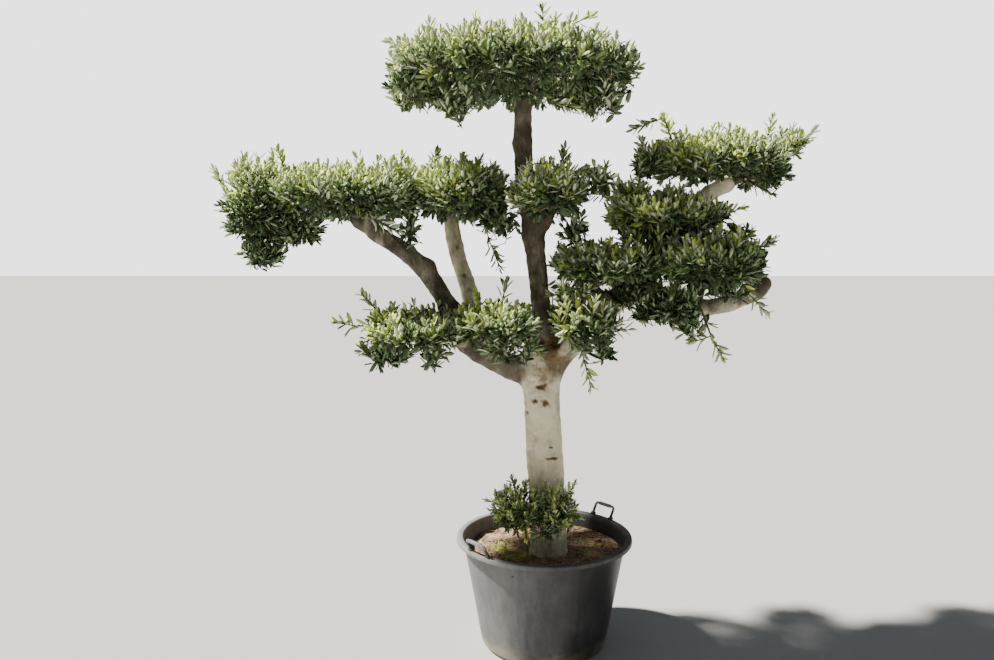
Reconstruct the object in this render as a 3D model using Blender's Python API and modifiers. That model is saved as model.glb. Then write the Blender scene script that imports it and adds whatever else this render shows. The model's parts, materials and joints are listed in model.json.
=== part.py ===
"""A potted olive tree: one trunk, a few bent boughs, and a crown clipped into flat pads of leaves.

It stands in a round nursery tub with two loop handles. The centre of the tub's flat underside is
at the origin, X runs to the right, Y to the back and Z up, all in metres. Each limb is one tapering
tube. Each pad is a core with twigs and leaves that grow out of one stem by a seeded rule.
"""

import math
import random
from collections import namedtuple

import bmesh
import bpy
import numpy as np
from mathutils import Matrix, Vector

GAP = 0.0003
TINY = 0.00001

# The tub
TUB_HEIGHT = 0.443
RIM_RADIUS = 0.350
RIM_TOP_WIDTH = 0.025
RIM_ROUND = 0.004
SKIRT_HEIGHT = 0.018
SHOULDER_RADIUS = 0.312
SHOULDER_HEIGHT = 0.360
BASE_RADIUS = 0.252
BASE_CORNER = 0.016
TUB_WALL = 0.004
TUB_SIDES = 32
DRAIN_HOLES = 8
DRAIN_RADIUS = 0.009
DRAIN_SLANT = math.radians(45.0)
DRAIN_TURN = 0.4

# The two loop handles, which stand on the rim's flat top
HANDLE_TURNS = (math.radians(40.3), math.radians(-139.3))
HANDLE_SPREAD = 0.100
HANDLE_INSET = 0.0065
HANDLE_RISE = 0.047
HANDLE_LEAN = math.radians(27.0)
HANDLE_ROD = 0.0055
GRIP_ROD = 0.0075
HANDLE_SUNK = 0.002
HANDLE_CORNER = 0.010
# The bend into the grip: how far in and how far down, as shares of the corner
HANDLE_BEND = ((0.0, 1.0), (0.4, 0.2), (1.0, 0.0), (1.6, 0.0), (2.0, 0.0))
FOOT_BLOCK = (0.024, 0.015, 0.008)

# The soil, level with a flat seat round the trunk and a shallow fall to the wall
SOIL_SEAT = 0.392
SOIL_EDGE = 0.383
SEAT_RADIUS = 0.155
SOIL_FALL = 0.85
SOIL_RIPPLE = 0.004
RIPPLES_ROUND = 5.0
RIPPLES_OUT = 40.0

# The trunk's root flare, the swelling at its fork, and the ends that close over in a dome
FLARE = 0.006
FLARE_HEIGHT = 0.040
FORK_SWELL = 0.004
FORK_HEIGHT = 0.12
DOMES = {"trunk": 0.070, "right_bough_outer": 0.030}
DOME_TIP_SHARE = 0.3
DOME_RINGS = (1, 0.55, 0.25)
DOME_MARGIN = 1.3

# A limb runs from its foot to its tip, leaving and arriving along two given vectors
Limb = namedtuple("Limb", "foot leaving tip arriving foot_radius tip_radius grows_from")

LIMBS = {
    "trunk": Limb(
        (0.014, -0.050, SOIL_SEAT + GAP), (0.00, 0.00, 0.75),
        (-0.024, -0.010, 1.200), (-0.02, 0.02, 0.70),
        0.071, 0.069, (),
    ),
    "leader": Limb(
        (0.004, 0.005, 1.140), (-0.05, 0.00, 1.00),
        (-0.090, 0.020, 2.140), (0.02, 0.00, 1.00),
        0.041, 0.035, ("trunk",),
    ),
    "left_bough_lower": Limb(
        (-0.005, -0.008, 1.118), (-0.44, 0.00, -0.10),
        (-0.365, 0.010, 1.315), (-0.12, 0.01, 0.30),
        0.050, 0.042, ("trunk", "leader"),
    ),
    "left_bough_upper": Limb(
        (-0.365, 0.010, 1.315), (-0.14, 0.01, 0.50),
        (-0.735, 0.050, 1.700), (-0.48, 0.03, 0.30),
        0.036, 0.033, ("left_bough_lower",),
    ),
    "second_bough": Limb(
        (-0.235, 0.010, 1.190), (-0.12, 0.16, 0.42),
        (-0.378, 0.200, 1.700), (-0.08, 0.08, 0.50),
        0.034, 0.031, ("left_bough_lower",),
    ),
    "right_bough": Limb(
        (0.002, -0.008, 1.130), (0.30, -0.02, 0.12),
        (0.375, -0.030, 1.440), (0.30, 0.00, -0.02),
        0.046, 0.040, ("trunk", "leader", "left_bough_lower"),
    ),
    "right_bough_outer": Limb(
        (0.375, -0.030, 1.440), (0.40, 0.00, -0.28),
        (0.803, -0.160, 1.460), (0.28, -0.06, 0.34),
        0.036, 0.029, ("right_bough",),
    ),
    "right_bough_return": Limb(
        (0.782, -0.150, 1.450), (0.00, 0.04, 0.10),
        (0.735, -0.070, 1.525), (-0.10, 0.06, 0.05),
        0.0245, 0.019, ("right_bough_outer",),
    ),
    "right_upper_bough": Limb(
        (0.330, -0.028, 1.420), (0.22, 0.12, 0.30),
        (0.740, 0.170, 1.845), (0.36, 0.05, 0.12),
        0.038, 0.032, ("right_bough", "right_bough_outer"),
    ),
    "lower_left_spur": Limb(
        (-0.300, 0.005, 1.230), (-0.03, -0.20, -0.02),
        (-0.390, -0.150, 1.262), (-0.12, -0.06, 0.10),
        0.022, 0.016, ("left_bough_lower",),
    ),
    "centre_spur": Limb(
        (0.020, -0.015, 1.165), (0.04, -0.16, 0.05),
        (0.085, -0.165, 1.255), (0.03, -0.05, 0.14),
        0.024, 0.017, ("trunk", "right_bough", "left_bough_lower", "leader"),
    ),
    "mid_right_spur": Limb(
        (-0.062, 0.014, 1.640), (0.12, -0.06, 0.08),
        (0.020, -0.060, 1.735), (0.02, -0.04, 0.10),
        0.022, 0.017, ("leader",),
    ),
    "right_inner_spur": Limb(
        (0.215, -0.022, 1.350), (-0.05, -0.02, 0.12),
        (0.190, -0.030, 1.462), (0.00, 0.00, 0.12),
        0.024, 0.018, ("right_bough",),
    ),
    "right_mid_spur": Limb(
        (0.470, 0.040, 1.560), (-0.10, 0.02, 0.06),
        (0.420, 0.050, 1.650), (0.00, 0.02, 0.12),
        0.024, 0.018, ("right_upper_bough",),
    ),
}
LIMB_KNOTS = 9
SPUR_KNOTS = 4
SPUR_GIRTH = 0.025
LIMB_CROOK = 0.005

# A lobe is a rounded slab: its centre and its three half widths. A shoot is the tip of a long twig.
Pad = namedtuple("Pad", "bough lobes shoots leaves")

# One knot of a twig: where it is, the knot it grows from, and how long the way is back to the stem
Knot = namedtuple("Knot", "spot parent way is_shoot")

PADS = {
    "top_pad": Pad(
        "leader",
        [((-0.133, 0.000, 2.262), (0.479, 0.450, 0.140))],
        [(-0.022, -0.030, 2.490), (-0.180, 0.060, 2.445), (0.170, -0.050, 2.455),
         (-0.610, 0.020, 2.370),
         (0.364, 0.020, 2.285), (0.100, -0.180, 2.090), (-0.330, -0.120, 2.095)],
        60,
    ),
    "left_pad": Pad(
        "left_bough_upper",
        [((-0.780, 0.050, 1.798), (0.330, 0.400, 0.118)),
         ((-1.090, 0.000, 1.745), (0.140, 0.300, 0.180))],
        [(-1.286, 0.000, 1.900), (-1.225, -0.060, 1.665), (-1.080, 0.080, 1.545),
         (-1.020, -0.050, 1.965),
         (-0.560, -0.080, 1.650)],
        52,
    ),
    "mid_left_pad": Pad(
        "second_bough",
        [((-0.330, 0.140, 1.811), (0.208, 0.380, 0.133))],
        [(-0.420, 0.060, 1.965), (-0.175, -0.060, 1.500)],
        28,
    ),
    "mid_right_pad": Pad(
        "mid_right_spur",
        [((0.004, -0.060, 1.797), (0.168, 0.340, 0.120))],
        [(0.065, -0.090, 1.975), (0.205, -0.060, 1.885), (0.140, -0.100, 1.640)],
        22,
    ),
    "lower_left_pad": Pad(
        "lower_left_spur",
        [((-0.485, -0.200, 1.300), (0.220, 0.270, 0.090)),
         ((-0.200, -0.200, 1.320), (0.180, 0.220, 0.098))],
        [(-0.795, -0.180, 1.318), (-0.690, -0.200, 1.430), (-0.610, -0.140, 1.165),
         (-0.150, -0.180, 1.475)],
        36,
    ),
    "centre_pad": Pad(
        "centre_spur",
        [((0.135, -0.200, 1.325), (0.148, 0.200, 0.112))],
        [(0.162, -0.220, 1.065), (0.312, -0.200, 1.290), (0.040, -0.300, 1.470)],
        17,
    ),
    "right_inner_pad": Pad(
        "right_inner_spur",
        [((0.240, -0.010, 1.530), (0.240, 0.360, 0.096))],
        [(0.060, -0.060, 1.690), (0.240, 0.130, 1.680)],
        30,
    ),
    "right_outer_pad": Pad(
        "right_bough_return",
        [((0.600, -0.120, 1.545), (0.218, 0.340, 0.112)),
         ((0.450, -0.230, 1.390), (0.118, 0.170, 0.094))],
        [(0.868, -0.100, 1.625), (0.628, -0.280, 1.190), (0.800, -0.240, 1.345), (0.520, -0.240, 1.250)],
        38,
    ),
    "right_mid_pad": Pad(
        "right_mid_spur",
        [((0.482, 0.140, 1.722), (0.256, 0.380, 0.100))],
        [(0.240, 0.060, 1.875), (0.800, 0.100, 1.745), (0.390, 0.280, 1.870)],
        31,
    ),
    "right_upper_pad": Pad(
        "right_upper_bough",
        [((0.690, 0.200, 1.948), (0.290, 0.360, 0.108)),
         ((0.885, 0.220, 1.898), (0.122, 0.240, 0.096))],
        [(1.088, 0.150, 2.065), (0.925, 0.200, 2.120), (0.470, 0.130, 2.110), (0.345, 0.140, 2.055),
         (0.930, 0.160, 1.800)],
        41,
    ),
    "left_sprouts": Pad(
        "trunk",
        [((-0.105, -0.155, 0.600), (0.120, 0.105, 0.098))],
        [(-0.245, -0.150, 0.632), (-0.135, -0.130, 0.720), (-0.080, -0.240, 0.500)],
        11,
    ),
    "right_sprouts": Pad(
        "trunk",
        [((0.050, -0.185, 0.598), (0.078, 0.090, 0.090))],
        [(0.112, -0.150, 0.705), (0.140, -0.170, 0.560)],
        7,
    ),
}

# How a pad grows. Reaches and shares count from a lobe's centre, where its surface is 1.
SLAB_POWER = 2.5
CORE_SHARE = (0.75, 0.75, 0.54)
LOOSE_CORE = 0.7
LOOSE_PADS = ("centre_pad", "left_sprouts", "right_sprouts")
CORE_LUMP = 0.10
CORE_CLEARANCE = 0.008
CORE_GRIP = 0.92
BURIED = 0.8
TIP_REACH = 0.80
INNER_REACH = 0.72
LEAF_REACH = 1.03
STEM_LENGTH = 0.07
STEM_GIRTH = 0.85
STEM_END = 0.011
SPROUT_STEM = 0.154
SPROUT_ROOT = 0.520
SPROUT_GIRTH = 0.017
WAY_WEIGHT = 0.35
NEXT_BEST = 6
CLEAR_FROM = 0.15
TWIG_SAG = 0.06
STRAIGHT_TWIG = 0.16
TWIG_RADIUS = 0.0085
TWIG_TIP_RADIUS = 0.0055
ROD_OVERLAP = 0.5
LEAVES_PER_TWIG = 11
LEAF_LENGTH = 0.145
LEAF_WIDTH = 0.052
LEAF_THICKNESS = 0.006
LEAF_SPACING = 0.030
LEAF_ROLL = 1.2
LEAF_LIFT = 0.30
LEAF_TILTS = [math.radians(degrees) for degrees in (75, 60, 45, 30, 15)]
LEAF_RANGE = (0.60, 1.15)
LEAF_VARIES = (0.9, 1.1)
LEAF_TIPS = (0.95, 1.0)
LEAF_CUTS = (1.0, 0.85, 0.7, 0.6)
TWIG_LEAN = 0.3
SHOOT_LEAVES = 3
SHOOT_LEAF_SCALE = 0.65
SHOOT_SPREAD = 0.9
SHOOT_STEP = 0.3
TIP_LEAF = 0.9
LIMB_CLEARANCE = 0.005
PAD_CLEARANCE = 0.05
GOLDEN_ANGLE = math.pi * (3.0 - math.sqrt(5.0))

# sRGB colours
TUB_BLACK = (0.225, 0.225, 0.220)
GRIP_GREY = (0.330, 0.330, 0.325)
SOIL_BROWN = (0.420, 0.330, 0.260)
BARK_PALE = (0.760, 0.735, 0.640)
BARK_GREY = (0.480, 0.465, 0.415)
LEAF_GREEN = (0.430, 0.500, 0.320)


def start_empty():
    """Removes every object from the scene."""
    for obj in list(bpy.data.objects):
        bpy.data.objects.remove(obj)


def collection(name):
    made = bpy.data.collections.new(name)
    bpy.context.scene.collection.children.link(made)
    return made


def place(name, mesh, home):
    made = bpy.data.objects.new(name, mesh)
    home.objects.link(made)
    return made


def finish(obj, colour, roughness, metallic=0.0):
    """Gives the object its own plain surface of one colour."""
    material = bpy.data.materials.new(obj.name)
    material.use_nodes = True
    shader = material.node_tree.nodes["Principled BSDF"]
    linear = [((c + 0.055) / 1.055) ** 2.4 for c in colour]
    shader.inputs["Base Color"].default_value = (*linear, 1.0)
    shader.inputs["Roughness"].default_value = roughness
    shader.inputs["Metallic"].default_value = metallic
    obj.data.materials.clear()
    obj.data.materials.append(material)


def mesh_from(build):
    """A mesh made by a function that fills a bmesh."""
    bm = bmesh.new()
    build(bm)
    mesh = bpy.data.meshes.new("shape")
    bm.to_mesh(mesh)
    bm.free()
    return mesh


def evaluated_mesh(obj):
    """The object's mesh with its modifiers worked in."""
    bpy.context.view_layer.update()
    graph = bpy.context.evaluated_depsgraph_get()
    return bpy.data.meshes.new_from_object(obj.evaluated_get(graph), depsgraph=graph)


def tube_from(curve, name, home):
    """A bevelled curve as a closed mesh object, its caps welded to its sides.

    Every quad is split along the same diagonal, so that a fatter copy's facets lie parallel to it.
    """
    guide = place(name + "_guide", curve, home)
    mesh = evaluated_mesh(guide)
    bpy.data.objects.remove(guide)
    bm = bmesh.new()
    bm.from_mesh(mesh)
    bmesh.ops.remove_doubles(bm, verts=bm.verts, dist=TINY)
    bmesh.ops.triangulate(bm, faces=bm.faces, quad_method="FIXED")
    bm.to_mesh(mesh)
    bm.free()
    return place(name, mesh, home)


def keep_largest(mesh):
    """Drops loose scraps and the walls of sealed hollows, which leaves the one outer surface."""
    bm = bmesh.new()
    bm.from_mesh(mesh)
    unseen = set(bm.verts)
    groups = []
    while unseen:
        edge_of_group = [unseen.pop()]
        group = set(edge_of_group)
        while edge_of_group:
            for edge in edge_of_group.pop().link_edges:
                for vert in edge.verts:
                    if vert in unseen:
                        unseen.remove(vert)
                        group.add(vert)
                        edge_of_group.append(vert)
        groups.append(group)

    def extent(group):
        points = np.array([vert.co for vert in group])
        return float(np.prod(np.ptp(points, axis=0)))

    groups.sort(key=extent)
    for group in groups[:-1]:
        bmesh.ops.delete(bm, geom=list(group), context="VERTS")
    bm.to_mesh(mesh)
    bm.free()
    return mesh


def boolean(obj, operation, other):
    """Adds a Boolean with another object, or with each object of a collection."""
    modifier = obj.modifiers.new(operation.lower(), "BOOLEAN")
    modifier.operation = operation
    if isinstance(other, bpy.types.Collection):
        modifier.operand_type = "COLLECTION"
        modifier.collection = other
    else:
        modifier.object = other
    return modifier


def settle(obj):
    """Replaces the object's mesh by its result, as one body, and clears its modifiers."""
    mesh = keep_largest(evaluated_mesh(obj))
    obj.modifiers.clear()
    obj.data = mesh


def smooth(obj, angle):
    obj.data.shade_smooth()
    obj.data.set_sharp_from_angle(angle=angle)


def turned(name, profile, home):
    """A solid of revolution round the Z axis from a profile that runs down its outer side."""
    mesh = bpy.data.meshes.new(name)
    edges = [(i, i + 1) for i in range(len(profile) - 1)]
    mesh.from_pydata([(r, 0.0, z) for r, z in profile], edges, [])
    obj = place(name, mesh, home)
    screw = obj.modifiers.new("turn", "SCREW")
    screw.steps = TUB_SIDES
    screw.render_steps = TUB_SIDES
    screw.use_merge_vertices = True
    screw.merge_threshold = TINY
    screw.use_normal_calculate = False
    return obj


def tub_profile():
    """Up the inside from the floor's middle, over the rim and its skirt, and down the outside."""
    rim_inner = RIM_RADIUS - RIM_TOP_WIDTH
    skirt_foot = TUB_HEIGHT - SKIRT_HEIGHT
    skirt_inner = RIM_RADIUS - TUB_WALL
    under_rim = TUB_HEIGHT - TUB_WALL
    return [
        (0.0, TUB_WALL),
        (BASE_RADIUS - BASE_CORNER, TUB_WALL),
        (BASE_RADIUS - TUB_WALL, BASE_CORNER),
        (SHOULDER_RADIUS - TUB_WALL, SHOULDER_HEIGHT),
        (rim_inner - RIM_ROUND, TUB_HEIGHT - RIM_ROUND),
        (rim_inner, TUB_HEIGHT),
        (RIM_RADIUS - RIM_ROUND, TUB_HEIGHT),
        (RIM_RADIUS, TUB_HEIGHT - RIM_ROUND),
        (RIM_RADIUS, skirt_foot),
        (skirt_inner, skirt_foot),
        (skirt_inner, under_rim - RIM_ROUND),
        (rim_inner + RIM_ROUND, under_rim - RIM_ROUND),
        (SHOULDER_RADIUS, SHOULDER_HEIGHT),
        (BASE_RADIUS, BASE_CORNER),
        (BASE_RADIUS - BASE_CORNER, 0.0),
        (0.0, 0.0),
    ]


def drain_cutter(home):
    """One row of slanting pegs round the tub's lower corner."""

    def build(bm):
        spot = Matrix.Translation((BASE_RADIUS - BASE_CORNER / 2, 0.0, BASE_CORNER / 2))
        peg = spot @ Matrix.Rotation(DRAIN_SLANT, 4, "Y")
        for k in range(DRAIN_HOLES):
            turn = Matrix.Rotation(2.0 * math.pi * (k + DRAIN_TURN) / DRAIN_HOLES, 4, "Z")
            bmesh.ops.create_cone(
                bm, cap_ends=True, segments=8, radius1=DRAIN_RADIUS, radius2=DRAIN_RADIUS,
                depth=4.0 * BASE_CORNER, matrix=turn @ peg,
            )

    cutter = place("drain_cutter", mesh_from(build), home)
    cutter.hide_render = True
    cutter.display_type = "WIRE"
    return cutter


def make_tub(home, cutters):
    tub = turned("pot", tub_profile(), home)
    boolean(tub, "DIFFERENCE", drain_cutter(cutters))
    finish(tub, TUB_BLACK, 0.55)
    return tub


def make_soil(home):
    """The soil fills the tub to its seat, clear of the wall, and ripples between seat and wall."""
    wall_slope = (SHOULDER_RADIUS - BASE_RADIUS) / (SHOULDER_HEIGHT - BASE_CORNER)
    rim_slope = (RIM_RADIUS - RIM_TOP_WIDTH - SHOULDER_RADIUS) / (TUB_HEIGHT - SHOULDER_HEIGHT)
    shoulder = SHOULDER_RADIUS - TUB_WALL - 2 * GAP
    edge = shoulder + rim_slope * (SOIL_EDGE - SHOULDER_HEIGHT)
    foot = BASE_RADIUS - BASE_CORNER - 2 * GAP
    profile = [
        (0.0, SOIL_SEAT),
        (SEAT_RADIUS, SOIL_SEAT),
        (0.5 * (SEAT_RADIUS + edge), 0.5 * (SOIL_SEAT + SOIL_EDGE)),
        (SEAT_RADIUS + SOIL_FALL * (edge - SEAT_RADIUS), SOIL_EDGE),
        (edge, SOIL_EDGE),
        (shoulder, SHOULDER_HEIGHT),
        (BASE_RADIUS - TUB_WALL - 2 * GAP + wall_slope * GAP, BASE_CORNER + GAP),
        (foot, TUB_WALL + 2 * GAP),
        (0.0, TUB_WALL + 2 * GAP),
    ]
    soil = turned("soil", profile, home)
    settle(soil)
    for vert in soil.data.vertices:
        radius = math.hypot(vert.co.x, vert.co.y)
        angle = math.atan2(vert.co.y, vert.co.x)
        if vert.co.z > SHOULDER_HEIGHT + GAP and SEAT_RADIUS + GAP < radius < edge - GAP:
            vert.co.z += SOIL_RIPPLE * math.sin(RIPPLES_ROUND * angle + RIPPLES_OUT * radius)
    finish(soil, SOIL_BROWN, 0.95)
    return soil


def make_handle(name, turn, home):
    """A bent rod with a thicker grip, standing on two foot blocks on the rim."""
    curve = bpy.data.curves.new(name, "CURVE")
    curve.dimensions = "3D"
    curve.bevel_depth = HANDLE_ROD
    curve.bevel_resolution = 2
    curve.use_fill_caps = True
    half = HANDLE_SPREAD / 2
    base = TUB_HEIGHT + GAP
    lean = math.tan(HANDLE_LEAN)
    route = [(half, HANDLE_SUNK), (half, FOOT_BLOCK[2])]
    for inset, drop in HANDLE_BEND:
        route.append((half - inset * HANDLE_CORNER, HANDLE_RISE - drop * HANDLE_CORNER))
    grip = (len(route) - 1, len(route))
    route += [(-along, rise) for along, rise in reversed(route)]
    spline = curve.splines.new("POLY")
    spline.points.add(len(route) - 1)
    for k, (along, rise) in enumerate(route):
        out = lean * max(rise - FOOT_BLOCK[2], 0.0)
        spline.points[k].co = (out, along, rise, 1.0)
        spline.points[k].radius = GRIP_ROD / HANDLE_ROD if k in grip else 1.0
    handle = tube_from(curve, name, home)

    def build(bm):
        for side in (-half, half):
            spot = Matrix.Translation((0.0, side, FOOT_BLOCK[2] / 2))
            size = Matrix.Diagonal((FOOT_BLOCK[1], FOOT_BLOCK[0], FOOT_BLOCK[2], 1.0))
            bmesh.ops.create_cube(bm, size=1.0, matrix=spot @ size)

    blocks = place(name + "_feet", mesh_from(build), home)
    boolean(handle, "UNION", blocks)
    settle(handle)
    bpy.data.objects.remove(blocks)
    chord = math.sqrt((RIM_RADIUS - HANDLE_INSET)**2 - half**2)
    handle.matrix_world = Matrix.Rotation(turn, 4, "Z") @ Matrix.Translation((chord, 0.0, base))
    finish(handle, GRIP_GREY, 0.5)
    smooth(handle, math.radians(50.0))
    return handle


def along_limb(limb, t):
    """A cubic from foot to tip, with a slight crook to the side that fades at both ends."""
    t = np.asarray(t, float)[:, None]
    foot, leaving, tip, arriving = (np.array(v) for v in limb[:4])
    points = (2 * t**3 - 3 * t**2 + 1) * foot + (t**3 - 2 * t**2 + t) * leaving
    points = points + (3 * t**2 - 2 * t**3) * tip + (t**3 - t**2) * arriving
    side = np.cross(tip - foot, (0.3, 1.0, 0.2))
    side = side / np.linalg.norm(side)
    crook = LIMB_CROOK * np.sin(3 * math.pi * t) * np.sin(math.pi * t) * (len(limb.grows_from) > 0)
    return points + crook * side


def span(limb):
    return math.dist(limb.foot, limb.tip)


def limb_radii(name, t):
    """A straight taper. The trunk adds its flare and swelling, and a domed end closes as a circle does."""
    limb = LIMBS[name]
    t = np.asarray(t, float)
    radii = limb.foot_radius + (limb.tip_radius - limb.foot_radius) * t
    left = (1 - t) * span(limb)
    if name == "trunk":
        radii = radii + FLARE * np.exp(-t * span(limb) / FLARE_HEIGHT)
        radii = radii + FORK_SWELL * np.exp(-left / FORK_HEIGHT)
    if name in DOMES:
        fall = 1 - np.minimum(left / DOMES[name], 1)
        radii = radii * np.sqrt(np.maximum(1 - fall**2, DOME_TIP_SHARE**2))
    return radii


def knots_of(name):
    """Where the tube's rings stand: evenly, with more at the trunk's flare and over a dome."""
    limb = LIMBS[name]
    even = np.linspace(0, 1, SPUR_KNOTS if limb.foot_radius < SPUR_GIRTH else LIMB_KNOTS)
    flare = [0.5 * FLARE_HEIGHT / span(limb)] if name == "trunk" else []
    height = DOMES.get(name, 0) / span(limb)
    dome = 1 - height * np.array(DOME_RINGS) if name in DOMES else []
    below = even[even < 1 - DOME_MARGIN * height]
    return np.unique(np.concatenate([below, flare, dome, [1.0]]))


def limb_tube(name, fatter, home):
    """The limb as a closed tube, fatter all round by the given amount. The trunk's foot is cut level."""
    t = knots_of(name)
    limb = LIMBS[name]
    points = along_limb(limb, t)
    radii = limb_radii(name, t) + fatter
    if name == "trunk":
        points[0, :2] = points[1, :2]
    if fatter:
        points[0] += fatter * (points[0] - points[1]) / np.linalg.norm(points[0] - points[1])
        points[-1] += fatter * (points[-1] - points[-2]) / np.linalg.norm(points[-1] - points[-2])
    curve = bpy.data.curves.new(name, "CURVE")
    curve.dimensions = "3D"
    curve.twist_mode = "MINIMUM"
    curve.bevel_depth = 1.0
    curve.bevel_resolution = 4 if name == "trunk" else 1 if limb.foot_radius < SPUR_GIRTH else 2
    curve.use_fill_caps = True
    spline = curve.splines.new("POLY")
    spline.points.add(len(t) - 1)
    for k, (point, radius) in enumerate(zip(points, radii)):
        spline.points[k].co = (*point, 1.0)
        spline.points[k].radius = radius
    return tube_from(curve, name, home)


def make_limb(name, home, cutters):
    """One bough: butted to the limb it carries on from, and cut clear of those it grows out of."""
    limb = LIMBS[name]
    tube = limb_tube(name, 0.0, home)
    for parent in limb.grows_from:
        cutter = limb_tube(parent, GAP, cutters)
        boolean(tube, "DIFFERENCE", cutter)
        settle(tube)
        bpy.data.objects.remove(cutter)
    finish(tube, BARK_PALE if name in ("trunk", "second_bough", "right_upper_bough") else BARK_GREY, 0.85)
    smooth(tube, math.radians(45.0))
    return tube


def limb_capsules():
    """Short straight stretches of every limb: their starts, ends and radii."""
    starts, ends, radii = [], [], []
    for name, limb in LIMBS.items():
        points = along_limb(limb, knots_of(name))
        girth = limb_radii(name, knots_of(name))
        starts.append(points[:-1])
        ends.append(points[1:])
        radii.append(np.maximum(girth[:-1], girth[1:]))
    return np.concatenate(starts), np.concatenate(ends), np.concatenate(radii)


def limb_room(points, capsules):
    """How far outside the nearest limb each point lies."""
    starts, ends, radii = capsules
    run = ends - starts
    offset = points[:, None, :] - starts
    t = np.clip((offset * run).sum(-1) / (run * run).sum(-1), 0, 1)
    return (np.linalg.norm(offset - t[..., None] * run, axis=-1) - radii).min(axis=1)


def depth_in(lobes, points):
    """0 at a lobe's centre and 1 on its surface, by the lobe that holds the point deepest."""
    values = []
    for centre, size in lobes:
        share = np.abs((points - np.array(centre)) / np.array(size))
        values.append((share**SLAB_POWER).sum(-1) ** (1 / SLAB_POWER))
    return np.min(values, axis=0)


def keeps_to(name, points, reach, clearance=PAD_CLEARANCE):
    """Whether all the points lie in the pad's own space, nearer to it than to any other pad."""
    own = depth_in(PADS[name].lobes, points)
    others = np.min([depth_in(pad.lobes, points) for other, pad in PADS.items() if other != name], axis=0)
    if reach is None:
        return bool((others > 1 + clearance).all())
    return bool((own < reach).all() and (own + clearance < others).all())


def lobe_targets(lobe, count, reach, turn):
    """Twig tips spread by the golden angle over the lobe's surface, at a share of its size."""
    centre, size = lobe
    k = np.arange(count) + 0.5
    height = 1 - 2 * k / count
    angle = GOLDEN_ANGLE * k + turn
    flat = np.sqrt(1 - height**2)
    way = np.stack([flat * np.cos(angle), flat * np.sin(angle), height], axis=-1)
    way /= (np.abs(way) ** SLAB_POWER).sum(-1, keepdims=True) ** (1 / SLAB_POWER)
    return np.array(centre) + reach * way * np.array(size)


def stem_of(pad):
    """Where the pad's stem starts and which way it heads."""
    if pad.bough == "trunk":
        trunk = LIMBS["trunk"]
        height = np.array([(SPROUT_ROOT - trunk.foot[2]) / (trunk.tip[2] - trunk.foot[2])])
        root = along_limb(trunk, height)[0]
        heading = np.array(pad.lobes[0][0]) - root
        return root, heading / np.linalg.norm(heading)
    before, tip = along_limb(LIMBS[pad.bough], knots_of(pad.bough)[-2:])
    heading = (tip - before) / np.linalg.norm(tip - before)
    return tip + GAP * heading, heading


def grow_twigs(name, targets, capsules):
    """Knots of a branching twig. Each target joins the knot that gives the shortest way to it.

    The way back to the stem counts by a weight, so that twigs fork near their targets. A twig that
    would touch a limb or leave the pad's space takes the next best knot, or isn't grown. A shoot
    stops a leaf's length short of its target, so that its last leaf reaches it.
    """
    pad = PADS[name]
    root, heading = stem_of(pad)
    first = SPROUT_STEM if pad.bough == "trunk" else STEM_LENGTH
    twigs = [Knot(root, None, 0.0, False), Knot(root + first * heading, 0, first, False)]
    shares = np.linspace(CLEAR_FROM, 1, 6)[:, None]
    for target, is_shoot in targets:
        spots = np.array([knot.spot for knot in twigs[1:]])
        ways = np.array([knot.way for knot in twigs[1:]])
        cost = np.linalg.norm(spots - target, axis=1) + WAY_WEIGHT * ways
        for pick in np.argsort(cost)[:NEXT_BEST]:
            line = spots[pick] + shares * (target - spots[pick])
            if limb_room(line, capsules).min() < LIMB_CLEARANCE + TWIG_RADIUS:
                continue
            if keeps_to(name, line[2:], None if is_shoot else 1.0):
                break
        else:
            continue
        run = target - spots[pick]
        length = np.linalg.norm(run)
        if is_shoot:
            run = run * (1 - TIP_LEAF * SHOOT_LEAF_SCALE * LEAF_LENGTH / length)
        stops = [spots[pick] + run]
        if length > STRAIGHT_TWIG:
            stops.insert(0, spots[pick] + 0.5 * run - np.array((0.0, 0.0, TWIG_SAG * length)))
        parent = int(pick) + 1
        for spot in stops:
            way = twigs[parent].way + np.linalg.norm(spot - twigs[parent].spot)
            twigs.append(Knot(spot, parent, way, is_shoot and spot is stops[-1]))
            parent = len(twigs) - 1
    return twigs


def leaf_matrix(root, heading, roll, length):
    """Lays a leaf of unit size along its heading, from its root, turned round that by the roll."""
    frame = Vector(heading).to_track_quat("Z", "Y").to_matrix().to_4x4()
    width = LEAF_WIDTH * length / LEAF_LENGTH
    size = Matrix.Diagonal((width / 2, LEAF_THICKNESS / 2, length / 2, 1.0))
    middle = Matrix.Translation((0.0, 0.0, length / 2))
    return Matrix.Translation(root) @ frame @ Matrix.Rotation(roll, 4, "Z") @ middle @ size


def leaf_corners(matrix):
    """The leaf's tip, root and sides, and the middles of its four long edges."""
    halves = [(x, 0, z) for x in (-0.5, 0.5) for z in (-0.5, 0.5)]
    corners = [(1, 0, 0), (-1, 0, 0), (0, 0, 1), (0, 0, -1), (0, 1, 0), (0, -1, 0)]
    return np.array([matrix @ Vector(corner) for corner in corners + halves])


def add_leaf(leaves, name, root, heading, length, reach, capsules, rng):
    """Adds a leaf where it has room: clear of the limbs and of other leaves, and within its reach."""
    matrix = leaf_matrix(root, heading, rng.uniform(-LEAF_ROLL, LEAF_ROLL), length)
    corners = leaf_corners(matrix)
    middle = corners.mean(axis=0)
    spacing = LEAF_SPACING * length / LEAF_LENGTH
    if any(np.linalg.norm(middle - other) < spacing for _, other in leaves):
        return False
    if limb_room(corners, capsules).min() < LIMB_CLEARANCE or not keeps_to(name, corners, reach):
        return False
    leaves.append((matrix, middle))
    return True


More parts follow.
